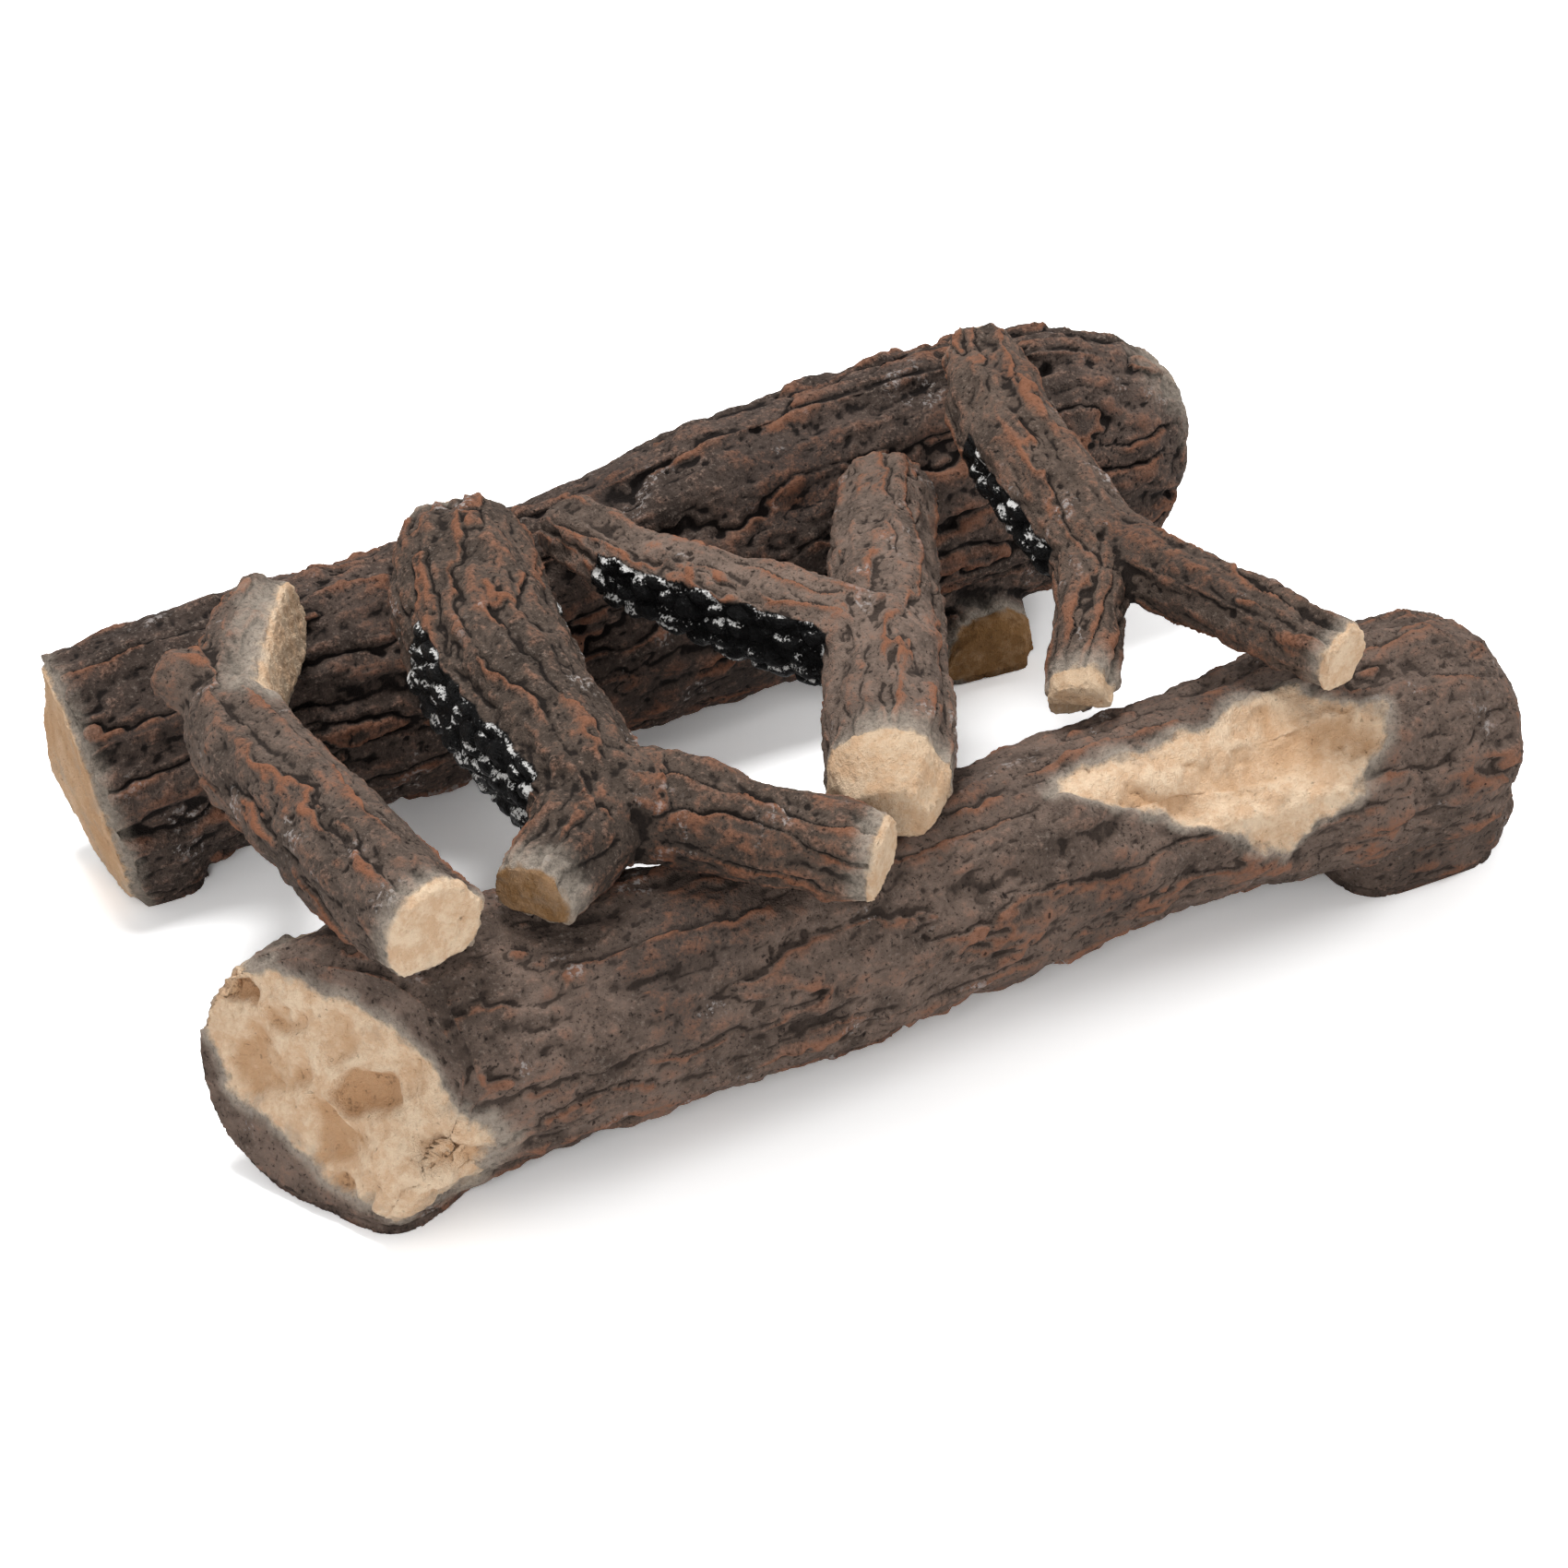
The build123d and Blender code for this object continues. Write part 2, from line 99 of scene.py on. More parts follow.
# %% Helpers that build node graphs
def put(tree, kind, sockets=None, **settings):
    """Add a node, set its options, and fill its sockets with values or links."""
    made = tree.nodes.new("ShaderNode" + kind)
    for name, value in settings.items():
        setattr(made, name, value)
    for name, value in (sockets or {}).items():
        if isinstance(value, bpy.types.NodeSocket):
            tree.links.new(value, made.inputs[name])
        else:
            made.inputs[name].default_value = value
    return made


def mixed(tree, share, low, high):
    """Colour that goes from low to high with share."""
    return put(tree, "Mix", {0: share, 6: low, 7: high}, data_type="RGBA").outputs[2]


def stretched(tree, value, low, high, to_low=0.0, to_high=1.0):
    """Value moved from the range low to high onto another range, with soft ends."""
    return put(tree, "MapRange", {0: value, 1: low, 2: high, 3: to_low, 4: to_high},
               interpolation_type="SMOOTHSTEP").outputs[0]


def math_of(tree, way, first, second=0.0):
    """One sum, product or the like of two values."""
    return put(tree, "Math", {0: first, 1: second}, operation=way).outputs[0]


def painted(tree, name):
    """Value that was painted on the mesh under this name."""
    return put(tree, "Attribute", attribute_name=name).outputs["Fac"]


# %% [markdown]
# ## Floor and light
# The set stands on a white sweep in a light tent: about half of the light comes evenly from all
# round, and the rest from three softboxes, one above and behind, one in front and one on the
# right. Light from above and behind leaves the gaps between the logs dark and models the bark.
# The floor is a pale grey, and only the camera sees it overexposed, so that the open floor is a
# clean white, the shadows stay close to the logs, and no extra light falls on them.

# %% Lay the floor
FLOOR_HALF = 1.4
# Shade of the floor for the light that it throws back, and as the camera sees it
FLOOR_SHADE = 0.85
FLOOR_AS_SEEN = 1.60

floor_mesh = bpy.data.meshes.new("floor")
floor_mesh.from_pydata([(-FLOOR_HALF, -FLOOR_HALF, 0), (FLOOR_HALF, -FLOOR_HALF, 0),
                        (FLOOR_HALF, FLOOR_HALF, 0), (-FLOOR_HALF, FLOOR_HALF, 0)], [], [(0, 1, 2, 3)])
floor = bpy.data.objects.new("floor", floor_mesh)
bpy.context.scene.collection.objects.link(floor)
floor_paint = bpy.data.materials.new("floor_paint")
floor_paint.use_nodes = True
tree = floor_paint.node_tree
tree.nodes.clear()
seen = put(tree, "LightPath").outputs["Is Camera Ray"]
shade = put(tree, "MapRange", {0: seen, 3: FLOOR_SHADE, 4: FLOOR_AS_SEEN}).outputs[0]
matt = put(tree, "BsdfDiffuse", {"Color": shade})
put(tree, "OutputMaterial", {"Surface": matt.outputs[0]})
floor_mesh.materials.append(floor_paint)
print("floor:", 2 * FLOOR_HALF, "m wide")

# %% Set the lights
WORLD_LIGHT = 0.52
# Place of each softbox in metres, its width, and its power in watts
SOFTBOXES = {
    "back_softbox": ((-0.10, 0.45, 1.50), 0.6, 19.0),
    "front_softbox": ((-0.95, -1.25, 0.95), 0.6, 9.0),
    "right_softbox": ((1.50, -0.40, 0.80), 0.6, 9.0),
}

world = bpy.data.worlds.new("studio")
bpy.context.scene.world = world
world.use_nodes = True
tree = world.node_tree
tree.nodes.clear()
seen = put(tree, "LightPath").outputs["Is Camera Ray"]
level = put(tree, "MapRange", {0: seen, 3: WORLD_LIGHT, 4: 1.0}).outputs[0]
sky = put(tree, "Background", {"Color": (1.0, 1.0, 1.0, 1.0), "Strength": level})
put(tree, "OutputWorld", {"Surface": sky.outputs[0]})
for name, (place, size, watts) in SOFTBOXES.items():
    light = bpy.data.lights.new(name, "AREA")
    light.shape = "DISK"
    light.size = size
    light.energy = watts
    lamp = bpy.data.objects.new(name, light)
    lamp.location = place
    lamp.rotation_euler = (aim - Vector(place)).to_track_quat("-Z", "Y").to_euler()
    bpy.context.scene.collection.objects.link(lamp)
print("lights:", list(SOFTBOXES))

# %% [markdown]
# ## Noise without seams
# Bark, pits and char blocks all come from noise in space. Noise that is read at a point in
# space has no seam, unlike noise on an unrolled picture. Numpy reads it for a whole mesh at
# once. One kind gives smooth lumps, the other gives cells with borders, as in cracked char.

# %% Noise for lumps and noise for cells
# Cells along each side of the block of random numbers, which repeats in space
LATTICE = 32
SEED = 11
# Brings the tops of the lumps to about 1
LUMP_GAIN = 1.6

chance = np.random.default_rng(SEED)
slopes = chance.normal(size=(LATTICE, LATTICE, LATTICE, 3))
slopes /= np.linalg.norm(slopes, axis=-1, keepdims=True)
scatter = chance.random((LATTICE, LATTICE, LATTICE, 3))
print("random slopes and seeds drawn for", LATTICE ** 3, "cells")


def lumps(points, size, shift=0.0):
    """Smooth noise from about -1 to 1, whose lumps have this size in millimetres."""
    grid = points / np.asarray(size, float) + shift
    base = np.floor(grid).astype(int)
    inside = grid - base
    # This curve is flat at both ends, so that the lumps of neighbouring cells meet without a crease
    eased = inside ** 3 * (inside * (inside * 6 - 15) + 10)
    total = np.zeros(len(points))
    for corner in np.ndindex(2, 2, 2):
        slope = slopes[tuple(((base + corner) % LATTICE).T)]
        weight = np.where(np.array(corner) == 1, eased, 1 - eased).prod(axis=1)
        total += weight * ((inside - corner) * slope).sum(axis=1)
    return total * LUMP_GAIN


def cells(points, size, shift=0.0):
    """Distances to the nearest and the next nearest of scattered seeds, in cell sizes."""
    grid = points / np.asarray(size, float) + shift
    base = np.floor(grid).astype(int)
    nearest = np.full(len(points), np.inf)
    second = nearest.copy()
    for step in np.ndindex(3, 3, 3):
        cell = base + np.array(step) - 1
        away = np.linalg.norm(grid - cell - scatter[tuple((cell % LATTICE).T)], axis=1)
        second = np.minimum(second, np.maximum(nearest, away))
        nearest = np.minimum(nearest, away)
    return nearest, second


def ramp(value, low, high):
    """0 below low, 1 above high, and a soft step between."""
    share = np.clip((value - low) / (high - low), 0, 1)
    return share * share * (3 - 2 * share)


# %% [markdown]
# ## Following the grain
# Bark runs along a limb and turns with it at every bend. Each limb has a centreline of a few
# points, and each point of the mesh gets three numbers from the nearest one: how far along the
# limb it lies, and how far to the side and up. Noise that is stretched along the first number
# becomes ridges and furrows that follow the limb. At a fork the limbs' reliefs are blended.

# %% Coordinates along a limb
def along_limb(points, line):
    """Each point's distances along, beside and above the line, its gap to it, and its way there."""
    line = np.array(line, float)
    runs = np.diff(line, axis=0)
    lengths = np.linalg.norm(runs, axis=1)
    ways = runs / lengths[:, None]
    joints = np.vstack([ways[:1], ways[:-1] + ways[1:], ways[-1:]])
    away = np.full(len(points), np.inf)
    coords = np.zeros((len(points), 3))
    nearest_way = coords.copy()
    start = 0.0
    for index, (run, length) in enumerate(zip(runs, lengths)):
        share = np.clip((points - line[index]) @ run / length ** 2, 0, 1)
        offset = points - line[index] - share[:, None] * run
        gap = np.linalg.norm(offset, axis=1)
        way = joints[index] * (1 - share[:, None]) + joints[index + 1] * share[:, None]
        way /= np.linalg.norm(way, axis=1, keepdims=True)
        side = np.cross((0.0, 0.0, 1.0), way)
        side /= np.linalg.norm(side, axis=1, keepdims=True)
        up = np.cross(way, side)
        local = np.stack([start + share * length + (offset * way).sum(axis=1),
                          (offset * side).sum(axis=1), (offset * up).sum(axis=1)], axis=1)
        closer = gap < away
        coords[closer] = local[closer]
        nearest_way[closer] = way[closer]
        away[closer] = gap[closer]
        start += length
    return coords, away, nearest_way


# Centrelines in millimetres, from each limb's rear or left end to its front or right end,
# with the limb's radius
LIMBS = {
    "front_log": [([(-265, -96, 48), (-200, -98, 50), (-135, -108, 53), (0, -112, 55),
                    (90, -106, 56), (180, -104, 56), (250, -107, 55)], 46)],
    "rear_log": [([(-258, 115, 45), (-160, 116, 56), (-60, 112, 60), (20, 113, 67),
                   (140, 119, 72), (245, 115, 63)], 45)],
    "bent_log": [([(-200, 56, 109), (-207, 27, 110), (-209, 4, 112), (-206, -34, 114),
                   (-203, -66, 115), (-194, -123, 116)], 21),
                 ([(-164, 108, 105), (-182, 77, 108), (-195, 57, 110), (-206, 30, 111)], 18)],
    "left_forked_log": [([(-87, 101, 113), (-95, 79, 114), (-112, 20, 114), (-117, -18, 115),
                          (-116, -50, 114), (-114, -80, 113)], 29),
                        ([(-115, -70, 115), (-125, -91, 113), (-138, -100, 112),
                          (-157, -114, 110)], 18),
                        ([(-118, -70, 115), (-94, -90, 113), (-76, -111, 111), (-39, -149, 108)], 19)],
    "middle_forked_log": [([(94, 89, 98), (79, 63, 101), (41, -3, 107), (19, -45, 109),
                            (-2, -84, 107), (-25, -126, 105)], 23),
                          ([(-49, 99, 116), (-36, 58, 114), (-21, 25, 114), (10, -24, 114)], 18)],
    "right_forked_log": [([(148, 112, 139), (141, 92, 138), (125, 32, 131), (122, 0, 125),
                           (123, -30, 118)], 21),
                         ([(124, -16, 122), (106, -47, 112), (89, -69, 105), (76, -89, 99)], 14),
                         ([(121, -16, 122), (137, -50, 119), (149, -77, 117), (167, -128, 114)], 15)],
}
# How sharply one limb's relief gives way to the next one's at a fork
FORK_BLEND = 5.0
print("limbs:", {node: len(limbs) for node, limbs in LIMBS.items()})


def grain(points, node):
    """Grain coordinates of the points on each limb, each limb's share, and the way of the grain."""
    found = [along_limb(points, line) for line, radius in LIMBS[node]]
    reach = np.array([away / radius
                      for (coords, away, way), (line, radius) in zip(found, LIMBS[node])])
    pull = np.exp(-FORK_BLEND * (reach - reach.min(axis=0)))
    shares = pull / pull.sum(axis=0)
    grain_way = sum(share[:, None] * way for share, (coords, away, way) in zip(shares, found))
    return [coords for coords, away, way in found], shares, grain_way


# %% [markdown]
# ## A fine mesh for each casting
# The solids have flat strips where the castings are round and rough. Voxel remeshing covers a
# copy of each solid with small even faces, smoothing takes the strips and the sharp rims off,
# and the points are then free to move. A rim is found as what stands proud of its blurred
# surroundings. The feet stay flat on the hearth.

# %% Remesh and smooth a copy of a solid
# Sizes of the faces of base logs and branches, in millimetres as all that follows
BASE_VOXEL = 1.15
BRANCH_VOXEL = 0.90
# Widths of the rims that are rounded
BASE_RIM = 7.0
BRANCH_RIM = 4.5
ROUND_OFF = 1.3
# How far a point stands proud where a rim starts, and where it is a full rim
RIM_PROUD = (1.0, 2.0)
# Points below this height stand on the hearth
FOOT_BAND = 0.6
# By what part of a face one round of averaging spreads a value
ROUND_SPREAD = 0.5


class Blank:
    """Mesh of one casting as arrays of points and normals, in millimetres."""

    def __init__(self, node, voxel):
        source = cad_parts[node]
        helper = bpy.data.objects.new(node + "_helper", source.data.copy())
        bpy.context.scene.collection.objects.link(helper)
        remesh = helper.modifiers.new("even_faces", "REMESH")
        remesh.mode = "VOXEL"
        remesh.voxel_size = voxel * MM
        view = bpy.context.evaluated_depsgraph_get()
        self.mesh = bpy.data.meshes.new_from_object(helper.evaluated_get(view))
        bpy.data.objects.remove(helper)
        self.voxel = voxel
        self.mesh.materials.clear()
        count = len(self.mesh.vertices)
        flat = np.empty(count * 3, np.float32)
        self.mesh.vertices.foreach_get("co", flat)
        self.points = flat.reshape(-1, 3).astype(float) / MM
        ends = np.empty(len(self.mesh.edges) * 2, np.int32)
        self.mesh.edges.foreach_get("vertices", ends)
        self.ends = ends.reshape(-1, 2)
        self.degree = np.bincount(ends, minlength=count).astype(float)
        self.standing = self.points[:, 2] < FOOT_BAND

    def averaged(self, values):
        """Mean of the neighbours' values at each point."""
        first, second = self.ends.T
        sums = [np.bincount(first, column[second], len(self.degree))
                + np.bincount(second, column[first], len(self.degree)) for column in values.T]
        return np.stack(sums, axis=1) / self.degree[:, None]

    def smoothed(self, values, span):
        """Values blurred over a span in millimetres, by averaging with their neighbours."""
        for _ in range(max(1, round((span / (ROUND_SPREAD * self.voxel)) ** 2))):
            values = (values + self.averaged(values)) / 2
        return values

    def settle(self):
        """Keep the feet flat on the hearth."""
        self.points[self.standing, 2] = 0.0
        self.points[:, 2] = np.maximum(self.points[:, 2], 0.0)

    def store(self):
        """Write the points back to the mesh, and read its normals."""
        self.mesh.vertices.foreach_set("co", (self.points * MM).astype(np.float32).ravel())
        self.mesh.update()
        flat = np.empty(len(self.points) * 3, np.float32)
        self.mesh.vertex_normals.foreach_get("vector", flat)
        self.normals = flat.reshape(-1, 3).astype(float)

    def paint(self, name, values):
        """Keep one value per point under a name that a material can read."""
        layer = self.mesh.attributes.new(name, "FLOAT", "POINT")
        layer.data.foreach_set("value", np.asarray(values, np.float32))


def blank(node, voxel, rim_span, rounding):
    """Remeshed and smoothed copy of a solid, with its rims found and rounded."""
    made = Blank(node, voxel * (1.0))
    made.points = made.smoothed(made.points, ROUND_OFF)
    made.settle()
    made.store()
    soft = made.smoothed(made.points, rim_span)
    made.rim = ramp(((made.points - soft) * made.normals).sum(axis=1), *RIM_PROUD)
    made.points += rounding * made.rim[:, None] * (soft - made.points)
    made.settle()
    made.store()
    return made


# %% [markdown]
# ## Sawn, peeled and charred places
# Where a log is sawn or has lost its bark, it is pale, and where it burnt, it is black and
# blocky. Each such place is measured as a distance in millimetres to its border: positive
# inside, negative outside. The relief and the paint both read it, so they always agree.

# %% Places that are sawn off
# Each is a point of the cut, the way that it faces, how far the pale wood reaches back from
# it, how far from the point it can lie, how widely its overspray fades out, and how brown it is.
# Depths inside a cut are stretched later, as the pale wood starts sharply at the saw's edge
SAWN = {
    "rear_log": [((-241, 116, 46), (-0.974, 0.085, -0.208), 1.5, 90, 1.1, 0.10),
                 ((141, 72, 12), (0.10, -0.99, 0.0), 3.5, 30, 0.8, 1.0),
                 ((252, 118, 75), (0.95, 0.10, 0.30), -3.0, 70, 2.4, 0.5)],
    "front_log": [],
    "bent_log": [((-194, -123, 116), (0.17, -0.98, 0.05), 2.0, 34, 1.1, 0.0),
                 ((-171, 68, 110), (0.857, -0.456, 0.242), 1.5, 50, 1.9, 0.1)],
    "left_forked_log": [((-39, -149, 108), (0.70, -0.71, -0.05), 2.5, 28, 1.0, 0.15),
                        ((-157, -114, 110), (-0.80, -0.59, -0.08), 1.0, 26, 1.9, 0.93),
                        ((-87, 101, 113), (0.22, 0.97, 0.0), 0.0, 40, 1.0, 0.4)],
    "middle_forked_log": [((-25, -126, 105), (-0.48, -0.87, -0.03), 25.0, 60, 1.7, 0.25),
                          ((94, 89, 98), (0.45, 0.88, -0.10), 1.0, 32, 1.0, 0.4)],
    "right_forked_log": [((76, -89, 99), (-0.54, -0.80, -0.24), 10.0, 28, 1.5, 0.3),
                         ((167, -128, 114), (0.33, -0.94, -0.05), 3.0, 28, 1.1, 0.05),
                         ((148, 112, 139), (0.15, 0.98, 0.05), 2.5, 34, 1.0, 0.4)],
}
# Distance that stands for having no such place near, and how much depths are stretched
FAR_AWAY = -40.0
INSIDE_GAIN = 4.0
print("sawn places:", {node: len(cuts) for node, cuts in SAWN.items()})


def sawn_depth(points, cuts):
    """Distance inside the pale wood of the nearest cut, and how brown that cut is."""
    depth = np.full(len(points), FAR_AWAY)
    brown = np.zeros(len(points))
    for place, facing, reach, limit, spread, tone in cuts:
        offset = points - place
        inside = np.minimum(offset @ (np.array(facing) / np.linalg.norm(facing)) + reach,
                            limit - np.linalg.norm(offset, axis=1))
        inside = np.where(inside < 0, inside / spread, inside * INSIDE_GAIN)
        brown[inside > depth] = tone
        depth = np.maximum(depth, inside)
    return depth, brown


# The left end of the rear log is sawn a little askew, so its far side juts out. How much it juts
# out per millimetre across, from which place across the log, up to what height, and how far back
# this fades out
END_TURN = 0.155
END_NEAR_SIDE = 69.0
END_TURN_TOP = 80.0
END_TURN_FADE = 50.0


def turned_end(points, places):
    """Points with the far side of the rear log's left end moved outward."""
    place, facing = SAWN["rear_log"][0][:2]
    depth = (places - place) @ -np.array(facing)
    share = ramp(END_TURN_FADE - depth, 0, END_TURN_FADE)
    share *= ramp(END_TURN_TOP - places[:, 2], 0, END_TURN_FADE)
    turned = points.copy()
    turned[:, 0] -= END_TURN * share * np.maximum(places[:, 1] - END_NEAR_SIDE, 0)
    return turned


# %% Places that are peeled
# Outlines of the two peeled places of the front log. The one at its end lies on the slanted
# end face: across the face from its back edge, then up. The other lies on the log's shoulder:
# along the log, then degrees round it from the front.
# Seen from above: the back corner of the end face, and the way across the face from there
END_FACE_CORNER = (-255, -55)
END_FACE_WAY = (0.59, -0.81)
END_PATCH = [(-2, 52), (-2, 66), (8, 78), (27, 83), (47, 85), (63, 79), (78, 74), (94, 68), (101, 60),
             (114, 52), (116, 43), (108, 26), (97, 13), (82, 10), (69, 13), (50, 20), (30, 27), (12, 34)]
# How far behind the end face its peeled place can reach
END_PATCH_REACH = 34.0
# Seen from the log's end: its middle, and the radius at which degrees turn into millimetres
SHOULDER_CENTRE = (-107, 55)
SHOULDER_RADIUS = 45.0
SHOULDER_PATCH = [(46, 66), (57, 76), (92, 80), (113, 80), (130, 88), (146, 93), (158, 84), (168, 70),
                  (183, 58), (180, 42), (168, 27), (151, 12), (135, -2), (123, -1), (108, 20), (81, 44),
                  (57, 56)]


def inside_outline(flat, outline):
    """Distance to a closed outline, positive inside it."""
    corners = np.array(outline, float)
    following = np.roll(corners, -1, axis=0)
    gap = np.full(len(flat), np.inf)
    inside = np.zeros(len(flat), bool)
    for start, end in zip(corners, following):
        run = end - start
        share = np.clip((flat - start) @ run / (run @ run), 0, 1)
        gap = np.minimum(gap, np.linalg.norm(flat - start - share[:, None] * run, axis=1))
        spans = (start[1] > flat[:, 1]) != (end[1] > flat[:, 1])
        rise = run[1] if run[1] else 1.0
        inside ^= spans & (flat[:, 0] < start[0] + (flat[:, 1] - start[1]) * run[0] / rise)
    return np.where(inside, gap, -gap)


def on_end_face(points):
    """Place of each point across the slanted end face and up it, and its depth behind the face."""
    way = np.array(END_FACE_WAY)
    offset = points[:, :2] - END_FACE_CORNER
    depth = offset @ np.array((-way[1], way[0]))
    return np.stack([offset @ way, points[:, 2]], axis=1), depth


def on_shoulder(points):
    """Place of each point along the log, and round it as a length."""
    back, up = points[:, 1] - SHOULDER_CENTRE[0], points[:, 2] - SHOULDER_CENTRE[1]
    return np.stack([points[:, 0], np.arctan2(up, -back) * SHOULDER_RADIUS], axis=1)


def peeled_depth(points):
    """Distance inside the nearer peeled place of the front log."""
    flat, depth = on_end_face(points)
    end = np.minimum(inside_outline(flat, END_PATCH), END_PATCH_REACH - depth)
    arc = [(along, math.radians(turn) * SHOULDER_RADIUS) for along, turn in SHOULDER_PATCH]
    return np.maximum(end, inside_outline(on_shoulder(points), arc))


# %% Places that are charred
# Each is the limb that burnt, from where to where along it, the middle of the burnt side as
# degrees round the limb from its right side, and half the width of that side in degrees
CHARRED = {
    "front_log": [],
    "rear_log": [],
    "bent_log": [],
    "left_forked_log": [(0, 80, 176, 190, 50), (0, 45, 100, -30, 36)],
    "middle_forked_log": [(1, 38, 150, 208, 70)],
    "right_forked_log": [(0, 72, 140, 213, 50)],
}
# At a fork, char ends where another limb takes over. From there to where the burnt limb is
# alone, the distance grows to this
LIMB_BORDER = 12.0
print("charred places:", {node: len(burns) for node, burns in CHARRED.items() if burns})


def charred_depth(coords, shares, node):
    """Distance inside the nearest burnt place, on its own limb alone."""
    depth = np.full(len(coords[0]), FAR_AWAY)
    for limb, start, end, facing, half_width in CHARRED[node]:
        along, side, up = coords[limb].T
        turn = np.degrees(np.arctan2(up, side)) - facing
        turn = np.abs((turn + 180) % 360 - 180)
        across = np.radians(half_width - turn) * np.hypot(side, up)
        inside = np.minimum(across, np.minimum(along - start, end - along))
        depth = np.maximum(depth, np.minimum(inside, (2 * shares[limb] - 1) * LIMB_BORDER))
    return depth


# %% [markdown]
# ## Bark relief
# Bark splits lengthwise into plates. Each plate starts at a ragged lip, steep on one side, and
# falls away to the cleft before the next lip. Going round a limb, a saw-tooth of the angle
# gives a fixed number of plates, and noise makes their borders wander, merge and fade out.
# Folded noise, whose folds are sharp like cracked skin, roughens the plates. It all stays
# shallow, as a casting has to leave its mould.

# %% Noise in layers and in patches
# Mean of the folded noise, which is taken off so that it doesn't swell the log
FOLD_MEAN = 0.3


def folded(points, size, shift=0.0):
    """Noise from 0 to about 1 with sharp folds at 0, as where skin cracks."""
    return np.abs(lumps(points, size, shift))


def layered(points, smooth, creased=(), shift=0.0):
    """Sum of smooth and of creased noises round 0, each given by its size, shift and height."""
    height = sum(weight * lumps(points, size, shift + own) for size, own, weight in smooth)
    return height + sum(weight * (folded(points, size, shift + own) - FOLD_MEAN)
                        for size, own, weight in creased)


def patches(points, patch, shift=0.0):
    """Share that comes and goes in patches, given by a noise's size and shift, and two levels."""
    size, own, none, full = patch
    return ramp(lumps(points, size, shift + own), none, full)


# %% Relief of bark
# Height of a lip at places across its plate, from one cleft to the next
LIP_PARTS = (0.0, 0.05, 0.10, 0.18, 0.40, 1.0)
LIP_RISES = (0.0, 0.80, 1.0, 0.55, 0.18, 0.0)
# Sizes of the noises that make the plates' borders wander, and by how many plates they do
WANDER = (((80, 24, 24), 1.0), ((28, 11, 11), 0.45), ((7, 4, 4), 0.16))
WANDER_SHIFT = 3.3
# Where lips, clefts and cracks come and go: size and shift of a noise, its levels for none and all
LIP_PATCH = ((26, 12, 12), 9.4, -0.40, 0.25)
CLEFT_PATCH = ((60, 20, 20), 12.6, -0.25, 0.30)
CRACK_PATCH = ((22, 16, 16), 6.1, -0.10, 0.30)
# Dents in the plates: size, shift and weight of each noise
DENT_LUMPS = (((26, 15, 15), 5.2, 0.9), ((12, 7, 7), 7.7, 0.6))
DENT_FOLDS = (((9, 6, 6), 3.9, 0.5),)
# Fine cracks run along the folds of a noise: its size and shift, and the level up to which they
# reach. Plates are puffed like pillows, less the mean height of a pillow
CRACK_SIZE = (13, 5.5, 5.5)
CRACK_SHIFT = 2.2
CRACK_WIDTH = 0.16
PUFF_MEAN = 0.75


def bark_relief(coords, bark, shift):
    """Height of the bark in millimetres at grain coordinates, and how much of it is lip."""
    plates, puff, lip_height, cleft_depth, cleft_share, dent_depth, crack_depth = bark
    turn = np.arctan2(coords[:, 2], coords[:, 1]) / (2 * math.pi)
    wander = sum(share * lumps(coords, size, shift + WANDER_SHIFT * share) for size, share in WANDER)
    part = (plates * turn + wander) % 1
    lip = np.interp(part, LIP_PARTS, LIP_RISES) * patches(coords, LIP_PATCH, shift)
    cleft = np.exp(-(np.minimum(part, 1 - part) / cleft_share) ** 2)
    cleft *= patches(coords, CLEFT_PATCH, shift)
    puffed = np.sqrt(np.sin(math.pi * part)) - PUFF_MEAN
    dent = layered(coords, DENT_LUMPS, DENT_FOLDS, shift)
    crack = ramp(CRACK_WIDTH - folded(coords, CRACK_SIZE, shift + CRACK_SHIFT), 0.0, CRACK_WIDTH)
    crack *= patches(coords, CRACK_PATCH, shift)
    height = puff * puffed + lip_height * lip + dent_depth * dent
    return height - cleft_depth * cleft - crack_depth * crack, lip


# %% Grit and pits of the cast skin
# Size, shift and height of the grit's noises
GRIT_LUMPS = ((4.2, 0.0, 0.30),)
GRIT_FOLDS = ((2.8, 5.5, 0.45),)
# Size of the cells that can hold a pit, shift, level of noise above which they do, and depth
PITS = ((7.0, 1.0, 0.45, 1.1), (4.0, 4.0, 0.42, 0.8))
# Radius of a pit, width of its wall, and size of the noise that picks the cells, in cells
PIT_RADIUS = 0.32
PIT_WALL = 0.18
PIT_SWARM = 2.5
PIT_SWARM_SHIFT = 1.7


def pits(points, size, shift, level):
    """Small holes, 1 at their middle, in some of the cells of this size."""
    nearest, _ = cells(points, size, shift)
    some = lumps(points, size * PIT_SWARM, shift + PIT_SWARM_SHIFT) > level
    return np.where(some, ramp(PIT_RADIUS - nearest, 0.0, PIT_WALL), 0.0)


def cast_skin(points):
    """Height of the grit, less the depth of the pits, in millimetres."""
    height = layered(points, GRIT_LUMPS, GRIT_FOLDS)
    for size, shift, level, depth in PITS:
        height -= depth * pits(points, size, shift, level)
    return height


# %% [markdown]
# ## Dents and knobs that have a place
# Some marks are too large to leave to chance: the scooped hollows of the peeled places, and the
# knots. Each has its own place and size. Where hollows overlap, the deeper one wins, so they
# meet in a crest, as gouged wood does. Noise bends their outlines, so none is a plain oval.

